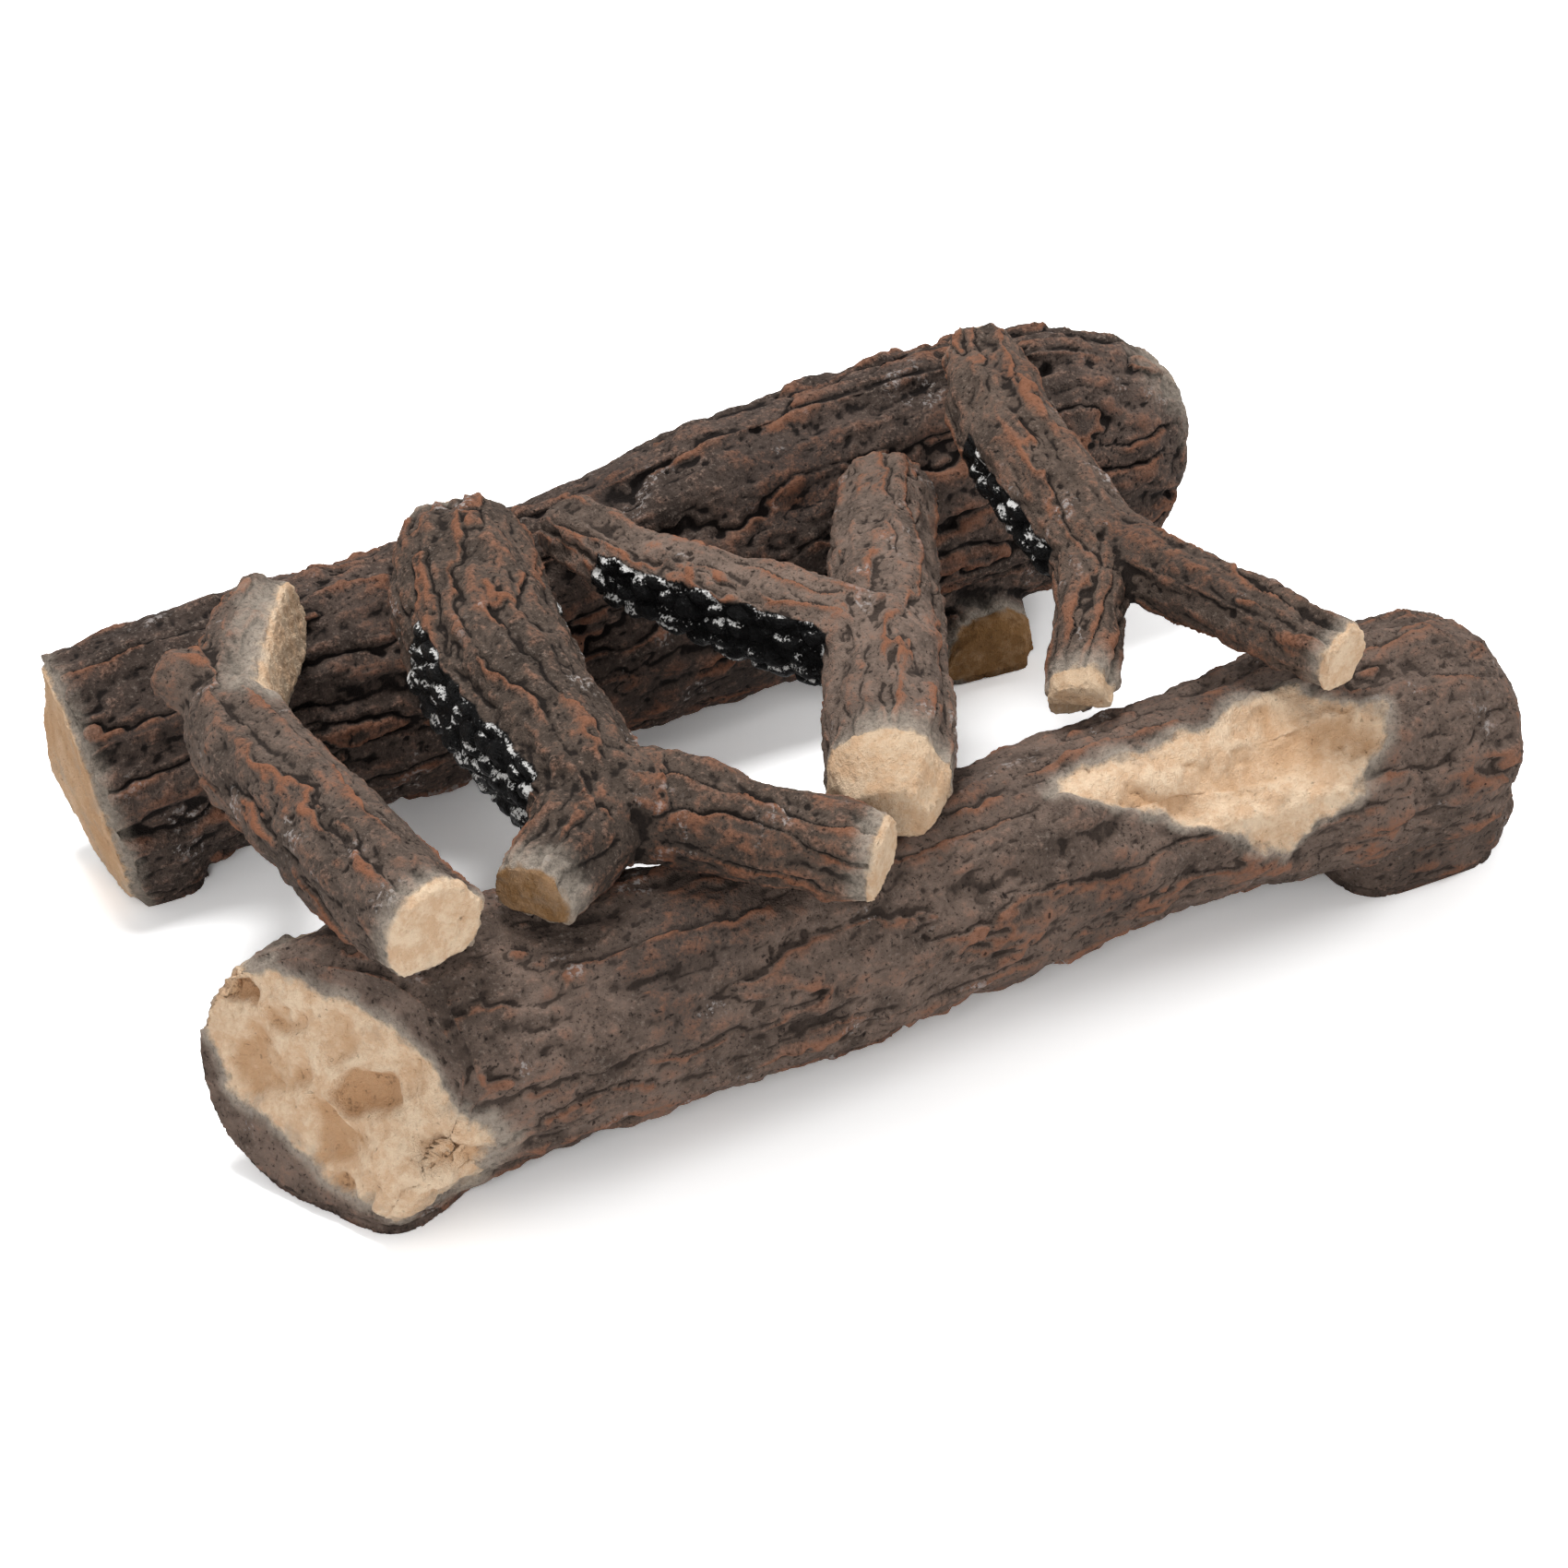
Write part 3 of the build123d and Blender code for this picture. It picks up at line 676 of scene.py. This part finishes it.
# %% Marks with a place of their own
# Across the end face, up it, half width, half height, and depth, which is negative for a knob
END_HOLLOWS = [(13, 69, 8, 7, 4.5), (23, 47, 14, 14, 2.6), (42, 50, 13, 9, 2.4), (68, 49, 13, 8, 5.0),
               (57, 31, 17, 16, 4.2), (64, 12, 14, 8, 2.4), (75, 19, 5, 6, 2.4), (86, 19, 15, 13, -2.6),
               (98, 38, 16, 9, 3.8), (103, 27, 10, 6, -1.6), (33, 67, 7, 5, 2.0), (44, 33, 5, 13, -1.4),
               (92, 15, 4, 4, 1.4), (80, 60, 12, 6, 1.6), (58, 66, 12, 8, 1.3)]
# Along the log, degrees round it, half length, half width, and depth
SHOULDER_HOLLOWS = [(108, 50, 58, 24, 3.0), (150, 52, 36, 27, 3.0), (93, 60, 10, 8, -1.8),
                    (160, 32, 14, 9, -1.4), (130, 10, 16, 13, 1.8), (118, 66, 26, 8, 1.2)]
# Place, radius and height of each knot
KNOTS = {
    "left_forked_log": [((-126, -78, 137), 9, 2.4)],
    "bent_log": [((-213, 30, 126), 12, 1.8)],
    "middle_forked_log": [],
    "right_forked_log": [((118, -22, 138), 10, 1.2)],
    "front_log": [],
    "rear_log": [((-120, 72, 92), 12, 1.8)],
}
# How steeply a knob falls off at its sides
KNOB_FALL = 1.4
# How ragged a knot's border is, size and shift of that noise, and where the knot's side lies,
# in radii of the knot
KNOT_RAG = 0.5
KNOT_RAG_SIZE = 1 / 1.6
KNOT_RAG_SHIFT = 2.9
KNOT_SIDE = 0.75
# Sizes of the noises that bend the outlines of the hollows, and how far they bend them
BENDS = ((17, 7.0), (7, 3.0))
BEND_SHIFTS = (1.0, 7.0)
print("hollows and knobs:", len(END_HOLLOWS) + len(SHOULDER_HOLLOWS),
      "knots:", sum(len(knots) for knots in KNOTS.values()))


def bent(flat, places):
    """Flattened places, moved a little by noise, so that what is drawn on them isn't regular."""
    moves = [sum(reach * lumps(places, size, shift + size) for size, reach in BENDS)
             for shift in BEND_SHIFTS]
    return flat + np.stack(moves, axis=1)


def scoops(flat, marks):
    """Height of scooped hollows, which meet in sharp crests, and of soft knobs."""
    hollow = np.zeros(len(flat))
    knob = np.zeros(len(flat))
    for across, up, half_wide, half_high, depth in marks:
        away = ((flat[:, 0] - across) / half_wide) ** 2 + ((flat[:, 1] - up) / half_high) ** 2
        if depth > 0:
            hollow = np.maximum(hollow, depth * np.clip(1 - away, 0, None))
        else:
            knob = np.maximum(knob, -depth * np.exp(-away ** KNOB_FALL))
    return knob - hollow


def knot_relief(points, node):
    """Height of the knots, which are low knobs with a ragged border."""
    height = np.zeros(len(points))
    for place, radius, rise in KNOTS[node]:
        away = np.linalg.norm(points - place, axis=1) / radius
        away += KNOT_RAG * lumps(points, radius * KNOT_RAG_SIZE, KNOT_RAG_SHIFT)
        height += rise * np.exp(-(away / KNOT_SIDE) ** 4)
    return height


# %% [markdown]
# ## Bare and burnt wood
# A saw leaves a nearly flat face. Where bark was torn off, the wood is gouged into hollows.
# Char shrinks and cracks across the grain into puffed blocks, which are cells of noise here,
# a little longer along the limb than across it. Every border is frayed by noise.

# %% Relief of bare and burnt wood
# How far bark and sawn wood lie below the solid's skin, so that their relief stays inside it
BARK_SINK = 0.7
# Size, shift and height of each noise on sawn faces, and on the peeled places
SAWN_LUMPS = ((9, 3.0, 0.40), (4, 4.0, 0.30))
SAWN_FOLDS = ((2.7, 6.0, 0.7),)
PEELED_LUMPS = ((12, 3.0, 0.9),)
PEELED_FOLDS = ((7, 4.0, 1.3), (3.0, 6.0, 0.8))
PEELED_SINK = 1.2
# By how much the hollows of the peeled places are deepened
HOLLOW_GAIN = 1.5
# The sawn end of the rear log is stained all over, as if it were a hollow of this depth
END_STAIN = 3.2
# Char: size and shift of its blocks, noise of its lumps, height of the blocks over their cracks,
# width of the cracks in blocks, how much a block falls off from its middle, and how low it lies
CHAR_BLOCK = (10.0, 6.8, 6.8)
CHAR_SHIFT = 2.0
CHAR_LUMPS = ((14, 9.0, 0.5),)
CHAR_PUFF = 1.8
CHAR_CRACK = 0.40
CHAR_ROUND = 3.0
CHAR_SINK = 0.4


def bare_relief(places, node):
    """Relief of wood without bark, fine where sawn and scooped where peeled, and its hollows."""
    if node != "front_log":
        stain = END_STAIN if node == "rear_log" else 0.0
        return layered(places, SAWN_LUMPS, SAWN_FOLDS) - BARK_SINK, np.full(len(places), -stain)
    flat, behind = on_end_face(places)
    turn = on_shoulder(places)
    turn[:, 1] = np.degrees(turn[:, 1] / SHOULDER_RADIUS)
    hollow = np.where(behind < END_PATCH_REACH, scoops(bent(flat, places), END_HOLLOWS),
                      scoops(bent(turn, places), SHOULDER_HOLLOWS))
    rough = layered(places, PEELED_LUMPS, PEELED_FOLDS)
    return HOLLOW_GAIN * hollow + rough - PEELED_SINK, hollow


def char_blocks(coords, places):
    """Relief of char: rounded blocks with cracks between them."""
    nearest, second = cells(coords, CHAR_BLOCK, CHAR_SHIFT)
    puffed = CHAR_PUFF * ramp(second - nearest, 0.0, CHAR_CRACK) - CHAR_ROUND * nearest ** 2
    return puffed + layered(places, CHAR_LUMPS) - CHAR_SINK


# %% Frayed borders
# Size, shift and reach in millimetres of the noises that fray each kind of border
PEELED_FRAY = ((15, 2.5, 4.0), (6, 5.5, 1.2))
BARE_FRAY = ((3.5, 8.1, 0.8),)
CHAR_FRAY = ((10, 6.5, 2.4),)
# Distances outside a peeled place are stretched, so that its overspray ends sooner
PATCH_FADE = 1.5


def borders(places, node, coords, shares):
    """Distances inside bare and inside burnt wood, and how brown the bare wood is."""
    peel, brown = sawn_depth(places, SAWN[node])
    if node == "front_log":
        peel = peeled_depth(places) + layered(places, PEELED_FRAY)
        peel = np.where(peel < 0, PATCH_FADE * peel, peel)
    peel += layered(places, BARE_FRAY)
    return peel, charred_depth(coords, shares, node) + layered(places, CHAR_FRAY), brown


# %% [markdown]
# ## Finishing a casting
# The relief is a height along the normal of each point, mostly inward, so that a casting keeps
# within its solid. Near another log it may only take up its part of the gap, which keeps the
# seats free. What stands proud of its surroundings after that is a ridge, and what lies below
# is a hollow: both are painted on the mesh for the brush and for the painted shade to find.

# %% Carve a casting
# Distance inside a border at which its relief starts, and at which it is full
BORDER = (-1.0, 2.0)
# Shift of the noise from one limb of a fork to the next
LIMB_SHIFT = 6
# How much of the bark's relief is taken off rims and ends, and how square to the grain a face
# has to be to count as an end: a little, and wholly
RIM_CALM = 0.75
END_CALM = 0.85
SQUARE_TO_GRAIN = (0.40, 0.75)
# Depth of a hollow that is stained fully, and the largest distance to a border that is painted
DEEP_HOLLOW = 5.0
PAINT_REACH = 30.0
# How near another log has to be to count, and the part of the gap that the relief may take up
NEIGHBOUR_REACH = 12.0
SHARE_OF_GAP = 0.4


def carved_height(made, places, node, bark, shift):
    """Height of the whole relief at each point, and the marks of it that the paint reads."""
    coords, shares, way = grain(places, node)
    peel, char, brown = borders(places, node, coords, shares)
    bare, burnt = ramp(peel, *BORDER), ramp(char, *BORDER)
    barks = [bark_relief(each, bark, shift + LIMB_SHIFT * index) for index, each in enumerate(coords)]
    height = sum(share * relief for share, (relief, lip) in zip(shares, barks))
    lip = sum(share * lip for share, (relief, lip) in zip(shares, barks))
    end = ramp(np.abs((made.normals * way).sum(axis=1)), *SQUARE_TO_GRAIN)
    calm = np.maximum(RIM_CALM * made.rim, END_CALM * end)
    height = height * (1 - calm) - BARK_SINK
    carved, hollow = bare_relief(places, node)
    height = height * (1 - bare) + bare * carved
    if CHARRED[node]:
        limb = CHARRED[node][0][0]
        height = height * (1 - burnt) + burnt * char_blocks(coords[limb], places)
    height += knot_relief(places, node) * (1 - bare) + cast_skin(made.points)
    marks = {"lip": lip * (1 - calm), "peel": np.clip(peel, -PAINT_REACH, PAINT_REACH),
             "brown": brown, "char": np.clip(char, -PAINT_REACH, PAINT_REACH),
             "hollow": np.clip(-hollow / DEEP_HOLLOW, 0, 1)}
    return height, marks


def room_outward(points, node):
    """How far each point may move outward before it nears another log."""
    room = np.full(len(points), NEIGHBOUR_REACH)
    for other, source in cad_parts.items():
        if other == node:
            continue
        low, high = (np.array(corner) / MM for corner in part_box(other))
        near = np.all((points > low - NEIGHBOUR_REACH) & (points < high + NEIGHBOUR_REACH), axis=1)
        tree = BVHTree.FromPolygons([v.co[:] for v in source.data.vertices],
                                    [p.vertices[:] for p in source.data.polygons])
        for index in np.nonzero(near)[0]:
            found = tree.find_nearest(points[index] * MM, NEIGHBOUR_REACH * MM)
            if found[3] is not None:
                room[index] = min(room[index], found[3] / MM * SHARE_OF_GAP)
    return room


def carve(made, places, node, height):
    """Move the points by their heights, within the room and the box of their own solid."""
    carried = made.points + made.normals * height[:, None]
    if node == "rear_log":
        carried = turned_end(carried, places)
    carried[made.standing, :2] = made.points[made.standing, :2]
    low, high = (np.array(corner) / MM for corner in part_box(node))
    made.points = np.clip(carried, low, high)
    made.settle()
    made.store()


# %% Paint the marks on a casting, and make it an object
# Span over which each point is compared with its surroundings, and the height that counts as 1
PROUD = {"ridge": (1.8, 0.45), "swell": (4.5, 1.4)}
# White ash and a painted highlight lie where the relief turned the surface upward by this much,
# and along the char's border where it faces up: middle and half width of that line, in millimetres
# inside it
TURNED_UP = (0.15, 0.55)
ASH_AND_HIGHLIGHT_LINE = (1.2, 1.3)
# Patches where the ash and painted highlight show: size and shift of a noise, its levels for none and
# all
ASH_AND_HIGHLIGHT_PATCH = ((11, 11, 7), 4.4, -0.45, 0.25)


def ash_and_highlight_on(made, places, before, char):
    """Where the char turns white, partly ash and partly a painted highlight, on what faces up. Before is
    the normals before carving.
    """
    middle, half = ASH_AND_HIGHLIGHT_LINE
    brushed_and_lit = ramp(made.normals[:, 2] - before[:, 2], *TURNED_UP)
    brushed_and_lit += np.exp(-((char - middle) / half) ** 2) * (before[:, 2] > 0)
    return brushed_and_lit * patches(places, ASH_AND_HIGHLIGHT_PATCH)


def finish_casting(node, blank_sizes, bark, shift):
    """Make the finished casting of one log, and paint its marks on it."""
    made = blank(node, *blank_sizes)
    places = made.points - moved
    before = made.normals
    height, marks = carved_height(made, places, node, bark, shift)
    height = np.minimum(height, room_outward(made.points, node))
    carve(made, places, node, height)
    for name, (span, full) in PROUD.items():
        proud = ((made.points - made.smoothed(made.points, span)) * made.normals).sum(axis=1)
        made.paint(name, np.clip(proud / full, -1, 1))
    made.paint("ash_and_highlight", ash_and_highlight_on(made, places, before, marks["char"]))
    for name, values in marks.items():
        made.paint(name, values)
    made.mesh.shade_smooth()
    piece = bpy.data.objects.new(node + "_casting", made.mesh)
    bpy.context.scene.collection.objects.link(piece)
    print(piece.name, "faces", len(made.mesh.polygons), "relief in mm", round(height.min(), 1),
          round(height.max(), 1))
    return piece


# %% [markdown]
# ## Paint
# The castings are dipped dark and then painted by hand, one thin layer over another. Each layer
# here is a colour and a mask, and a mask is a sum of noises and painted marks that is stretched
# between two levels. Noises in space need no unwrapping and look the same on every log.

# %% Helpers of the paint
PER_METRE = 1000.0
# Detail and roughness of the noise of pinholes, and the levels where a hole starts and is full
PINHOLE_NOISE = (1.0, 0.5)
PINHOLE = (0.27, 0.20)


def noise_at(tree, where, size, detail, rough):
    """Noise texture whose lumps have this size in millimetres."""
    return put(tree, "TexNoise", {"Vector": where, "Scale": PER_METRE / size, "Detail": detail,
                                  "Roughness": rough}).outputs["Fac"]


def summed(tree, *weighted):
    """Sum of values, each given with its weight."""
    found = 0.0
    for value, weight in weighted:
        found = math_of(tree, "ADD", math_of(tree, "MULTIPLY", value, weight), found)
    return found


def centred(tree, value, middle=0.5):
    """Value less its middle, so that it swings round 0."""
    return math_of(tree, "SUBTRACT", value, middle)


def pinholes(tree, where, size):
    """1 in small ragged holes, about one for every few cells of this size."""
    return stretched(tree, noise_at(tree, where, size, *PINHOLE_NOISE), *PINHOLE)


# %% [markdown]
# ## Painted bark
# Painted shade darkens the hollows and the dips of the grit, soot darkens broad patches, and a
# nearly dry brush leaves dust and rust on what stands proud. A few patches have a pale frost of ash.

# %% Colour of the bark
DARK_share = 0.50
LIGHT_share = 1.38
DUST = (0.270, 0.222, 0.188, 1.0)
# Painted shade, laid in the hollows, in the dips of the grit and in the pinholes
PAINTED_SHADE = (0.012, 0.009, 0.008, 1.0)
SOOT = (0.022, 0.018, 0.017, 1.0)
RUST = (0.300, 0.120, 0.062, 1.0)
FROST = (0.420, 0.380, 0.360, 1.0)
# Noises: size in millimetres, detail and roughness
SOOT_NOISE = (75, 2.0, 0.6)
FROST_PATCH_NOISE = (24, 2.0, 0.6)
FROST_NOISE = (1.9, 4.0, 0.6)
# Masks: levels at which each starts and ends, and its strength at both
TONES = (-0.30, 0.30)
# Painted shade in the dips of the fine noise, which is also the grit of the bump
CRANNY_SHADE = (0.45, 0.32, 0.0, 0.85)
DUSTY = (0.54, 0.74, 0.0, 0.65)
SOOTY = (0.68, 0.86, 0.0, 0.55)
RUSTY = (0.15, 1.45, 0.0)
# Painted shade in the hollows: the further a point lies below its surroundings, the darker
HOLLOW_SHADE = (0.30, 1.15, 0.0)
FROST_PATCH = (0.60, 0.70, 0.0, 0.75)
FROSTY = (0.54, 0.66)


def bark_finish(tree, where, noises, bark_colour, rust_amount, hollow_shade_amount):
    """Colour of the painted bark."""
    mid, fine, around = noises
    ridge, swell = painted(tree, "ridge"), painted(tree, "swell")
    dark = tuple(DARK_share * value for value in bark_colour) + (1.0,)
    light = tuple(LIGHT_share * value for value in bark_colour) + (1.0,)
    bark = mixed(tree, stretched(tree, around, *TONES), dark, light)
    bark = mixed(tree, stretched(tree, fine, *CRANNY_SHADE), bark, PAINTED_SHADE)
    dusty = summed(tree, (fine, 1.0), (ridge, 0.08))
    bark = mixed(tree, stretched(tree, dusty, *DUSTY), bark, DUST)
    sooty = summed(tree, (noise_at(tree, where, *SOOT_NOISE), 1.0), (mid, 0.3))
    bark = mixed(tree, stretched(tree, sooty, *SOOTY), bark, SOOT)
    rusty = summed(tree, (painted(tree, "lip"), 0.80), (ridge, 0.30), (swell, 0.35), (around, 1.5),
                   (centred(tree, fine), 2.2))
    bark = mixed(tree, stretched(tree, rusty, *RUSTY, rust_amount), bark, RUST)
    hollow_shade_mask = summed(tree, (ridge, -1.0), (swell, -0.6))
    bark = mixed(tree, stretched(tree, hollow_shade_mask, *HOLLOW_SHADE, hollow_shade_amount), bark, PAINTED_SHADE)
    frosty = summed(tree, (noise_at(tree, where, *FROST_NOISE), 1.0), (ridge, 0.10))
    patch = stretched(tree, noise_at(tree, where, *FROST_PATCH_NOISE), *FROST_PATCH)
    frosty = math_of(tree, "MULTIPLY", patch, stretched(tree, frosty, *FROSTY))
    return mixed(tree, frosty, bark, FROST)


# %% [markdown]
# ## Painted wood and char
# Sawn and peeled wood is cream and tan, stained in its hollows, with painted shade where sunk and a grey
# scorched border.
# Char is a glossy black with white on its upturned high spots, partly ash and partly a painted
# highlight.

# %% Colours of bare and burnt wood
CREAM = (0.850, 0.655, 0.465, 1.0)
TAN = (0.710, 0.475, 0.300, 1.0)
STAIN = (0.560, 0.320, 0.165, 1.0)
BROWN = (0.230, 0.120, 0.045, 1.0)
# Painted shade of the wood, laid where it is sunk and in its pinholes
WOOD_SHADE = (0.100, 0.060, 0.035, 1.0)
OVERSPRAY = (0.400, 0.345, 0.285, 1.0)
CHAR_BLACK = (0.002, 0.002, 0.002, 1.0)
# White of the ash on the char, which also serves as its painted highlight
ASH_AND_HIGHLIGHT = (0.750, 0.740, 0.720, 1.0)
# Noises and masks are given as for the bark. Noise makes the ash and the painted highlight on the char
# ragged by this much
SMOKE_NOISE = (15, 3.0, 0.6)
ASH_AND_HIGHLIGHT_NOISE = (1.3, 6.0, 0.75)
ASH_AND_HIGHLIGHT_RAG = 4.5
# Size of the pinholes in the wood, and how dark their painted shade is
WOOD_PINHOLE = 2.6
WOOD_PINHOLE_SHADE = 0.4
WOOD_TONES = (0.40, 0.60)
STAINED = (0.05, 0.85, 0.0, 0.85)
BROWNED = (0.30, 0.60, 0.75, 1.05)
SMOKED = (0.50, 0.68, 0.0, 0.6)
# Millimetres inside a border at which smoke starts to show, and at which it is full
SMOKE_DEPTH = (11.0, 1.0)
# Painted shade where the wood lies below its surroundings and in the dips of the grit
SUNK_WOOD_SHADE = (0.92, 1.15, 0.0, 0.6)
# Ash and painted highlight on the char: levels at which they start and end, and strength at both
ASH_AND_HIGHLIGHT_LEVELS = (0.84, 1.00, 0.0, 0.97)


def wood_finish(tree, where, noises, peel):
    """Colour of sawn or peeled wood."""
    mid, fine, around = noises
    grainy = summed(tree, (mid, 0.7), (fine, 0.3))
    wood = mixed(tree, stretched(tree, grainy, *WOOD_TONES), TAN, CREAM)
    stained = summed(tree, (painted(tree, "hollow"), 0.85), (around, 1.4),
                     (painted(tree, "swell"), -0.30))
    wood = mixed(tree, stretched(tree, stained, *STAINED), wood, STAIN)
    browned = math_of(tree, "MULTIPLY", painted(tree, "brown"), stretched(tree, mid, *BROWNED))
    wood = mixed(tree, browned, wood, BROWN)
    smoke = stretched(tree, noise_at(tree, where, *SMOKE_NOISE), *SMOKED)
    smoke = math_of(tree, "MULTIPLY", smoke, stretched(tree, peel, *SMOKE_DEPTH))
    wood = mixed(tree, smoke, wood, OVERSPRAY)
    sunk = summed(tree, (painted(tree, "ridge"), -1.0), (centred(tree, fine), -0.9))
    wood = mixed(tree, stretched(tree, sunk, *SUNK_WOOD_SHADE), wood, WOOD_SHADE)
    holes = math_of(tree, "MULTIPLY", pinholes(tree, where, WOOD_PINHOLE), WOOD_PINHOLE_SHADE)
    return mixed(tree, holes, wood, WOOD_SHADE)


def char_finish(tree, where):
    """Colour of char: black, with ragged white where it faces up, partly ash and partly a painted
    highlight.
    """
    rag = centred(tree, noise_at(tree, where, *ASH_AND_HIGHLIGHT_NOISE))
    ragged = summed(tree, (painted(tree, "ash_and_highlight"), 1.0), (rag, ASH_AND_HIGHLIGHT_RAG))
    return mixed(tree, stretched(tree, ragged, *ASH_AND_HIGHLIGHT_LEVELS), CHAR_BLACK, ASH_AND_HIGHLIGHT)


# %% [markdown]
# ## One material for each log
# A log has bark, wood and char in one skin, so one material holds all three and mixes them by
# the painted distances to their borders. Noise makes the borders ragged. The skin of a
# casting is dull, and only char has a shine. A bump adds the grit that is too fine to carve.

# %% The paint of a casting
# Noises: size in millimetres, detail and roughness
BROAD_NOISE = (38, 4.0, 0.6)
MID_NOISE = (9, 6.0, 0.65)
FINE_NOISE = (1.7, 4.0, 0.7)
RAGGED_NOISE = (4.0, 5.0, 0.75)
GRIT_NOISE = (0.7, 2.0, 0.6)
# How far in millimetres noise moves the borders of wood and char, and the overspray's reach
WOOD_RAG = 7.0
CHAR_RAG = 4.0
SPRAY_DRIFT = 16.0
# Size of the pinholes in the bark, and how dark their painted shade is
BARK_PINHOLE = 3.0
BARK_PINHOLE_SHADE = 0.8
# Masks: the overspray by millimetres from the border of wood, its speckle, and both borders
SPRAYED = (-9.0, 0.5, 0.0, 0.90)
SPECKLE = (0.34, 0.60, 0.55, 1.0)
WOOD_BORDER = (-1.5, 2.5)
CHAR_BORDER = (-0.6, 0.6)
BARK_ROUGHNESS = 0.90
CHAR_ROUGHNESS = 0.28
DULL_SHINE = 0.14
BUMP_HEIGHT = 1.6 * MM


def casting_paint(name, bark_colour, rust_amount, hollow_shade_amount):
    """Material of one casting."""
    paint = bpy.data.materials.new(name)
    paint.use_nodes = True
    tree = paint.node_tree
    tree.nodes.clear()
    where = put(tree, "TexCoord").outputs["Object"]
    broad, mid, fine = (noise_at(tree, where, *noise) for noise in (BROAD_NOISE, MID_NOISE, FINE_NOISE))
    noises = mid, fine, centred(tree, math_of(tree, "ADD", mid, broad), 1.0)
    ragged = centred(tree, noise_at(tree, where, *RAGGED_NOISE))
    peel = summed(tree, (painted(tree, "peel"), 1.0), (ragged, WOOD_RAG))
    colour = bark_finish(tree, where, noises, bark_colour, rust_amount, hollow_shade_amount)
    holes = pinholes(tree, where, BARK_PINHOLE)
    colour = mixed(tree, math_of(tree, "MULTIPLY", holes, BARK_PINHOLE_SHADE), colour, PAINTED_SHADE)
    spray = summed(tree, (peel, 1.0), (centred(tree, broad), SPRAY_DRIFT))
    spray = math_of(tree, "MULTIPLY", stretched(tree, spray, *SPRAYED), stretched(tree, fine, *SPECKLE))
    colour = mixed(tree, spray, colour, OVERSPRAY)
    wood = wood_finish(tree, where, noises, peel)
    colour = mixed(tree, stretched(tree, peel, *WOOD_BORDER), colour, wood)
    char = summed(tree, (painted(tree, "char"), 1.0), (ragged, CHAR_RAG))
    is_char = stretched(tree, char, *CHAR_BORDER)
    colour = mixed(tree, is_char, colour, char_finish(tree, where))
    rough = stretched(tree, is_char, 0.0, 1.0, BARK_ROUGHNESS, CHAR_ROUGHNESS)
    relief = summed(tree, (fine, 1.0), (noise_at(tree, where, *GRIT_NOISE), 0.5), (holes, -0.5))
    bump = put(tree, "Bump", {"Height": relief, "Distance": BUMP_HEIGHT, "Strength": 1.0})
    skin = put(tree, "BsdfPrincipled", {"Base Color": colour, "Roughness": rough,
                                        "Normal": bump.outputs[0], "Specular IOR Level": DULL_SHINE})
    put(tree, "OutputMaterial", {"Surface": skin.outputs[0]})
    print(paint.name, "nodes", len(tree.nodes))
    return paint


# %% [markdown]
# ## The six castings
# Each log now gets its mesh, its paint and its place on the body that carries it. The base
# logs have the broad, deep bark of a trunk, and the branches a finer one.

# %% Make the castings
# Voxel, width of the rims, and how much they are rounded
BASE_BLANK = (BASE_VOXEL, BASE_RIM, 1.0)
BRANCH_BLANK = (BRANCH_VOXEL, BRANCH_RIM, 0.4)
# The blank, then of the bark: the number of plates round the limb, how much each one is puffed,
# height of the lips, depth of the clefts, their width as a share of a plate, depth of the dents
# and depth of the cracks. Then a shift of the noise, the bark's colour, how much rust is brushed
# on, and how dark the painted shade in the hollows is
CASTINGS = {
    "front_log": (BASE_BLANK, (9, 1.2, 1.9, 0.5, 0.07, 2.6, 0.5), 0.3,
                  (0.166, 0.119, 0.095), 0.66, 0.62),
    "rear_log": (BASE_BLANK, (9, 2.0, 2.1, 2.2, 0.10, 2.2, 0.5), 4.1,
                 (0.092, 0.066, 0.054), 0.62, 0.95),
    "bent_log": (BRANCH_BLANK, (6, 1.3, 1.9, 0.4, 0.08, 2.6, 0.5), 8.4,
                 (0.136, 0.100, 0.080), 0.85, 0.80),
    "left_forked_log": (BRANCH_BLANK, (7, 1.8, 2.2, 0.6, 0.09, 2.6, 0.5), 12.9,
                        (0.096, 0.070, 0.055), 0.75, 0.85),
    "middle_forked_log": (BRANCH_BLANK, (6, 1.3, 1.7, 0.4, 0.08, 2.6, 0.5), 17.2,
                          (0.190, 0.138, 0.110), 0.85, 0.75),
    "right_forked_log": (BRANCH_BLANK, (6, 1.3, 1.7, 0.5, 0.09, 2.4, 0.5), 21.7,
                         (0.116, 0.083, 0.065), 0.75, 0.85),
}
for node, (blank_sizes, bark, shift, bark_colour, rust_amount, hollow_shade_amount) in CASTINGS.items():
    piece = finish_casting(node, blank_sizes, bark, shift)
    piece.data.materials.append(casting_paint(node + "_paint", bark_colour, rust_amount, hollow_shade_amount))
    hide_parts(node)
    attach(piece, node)
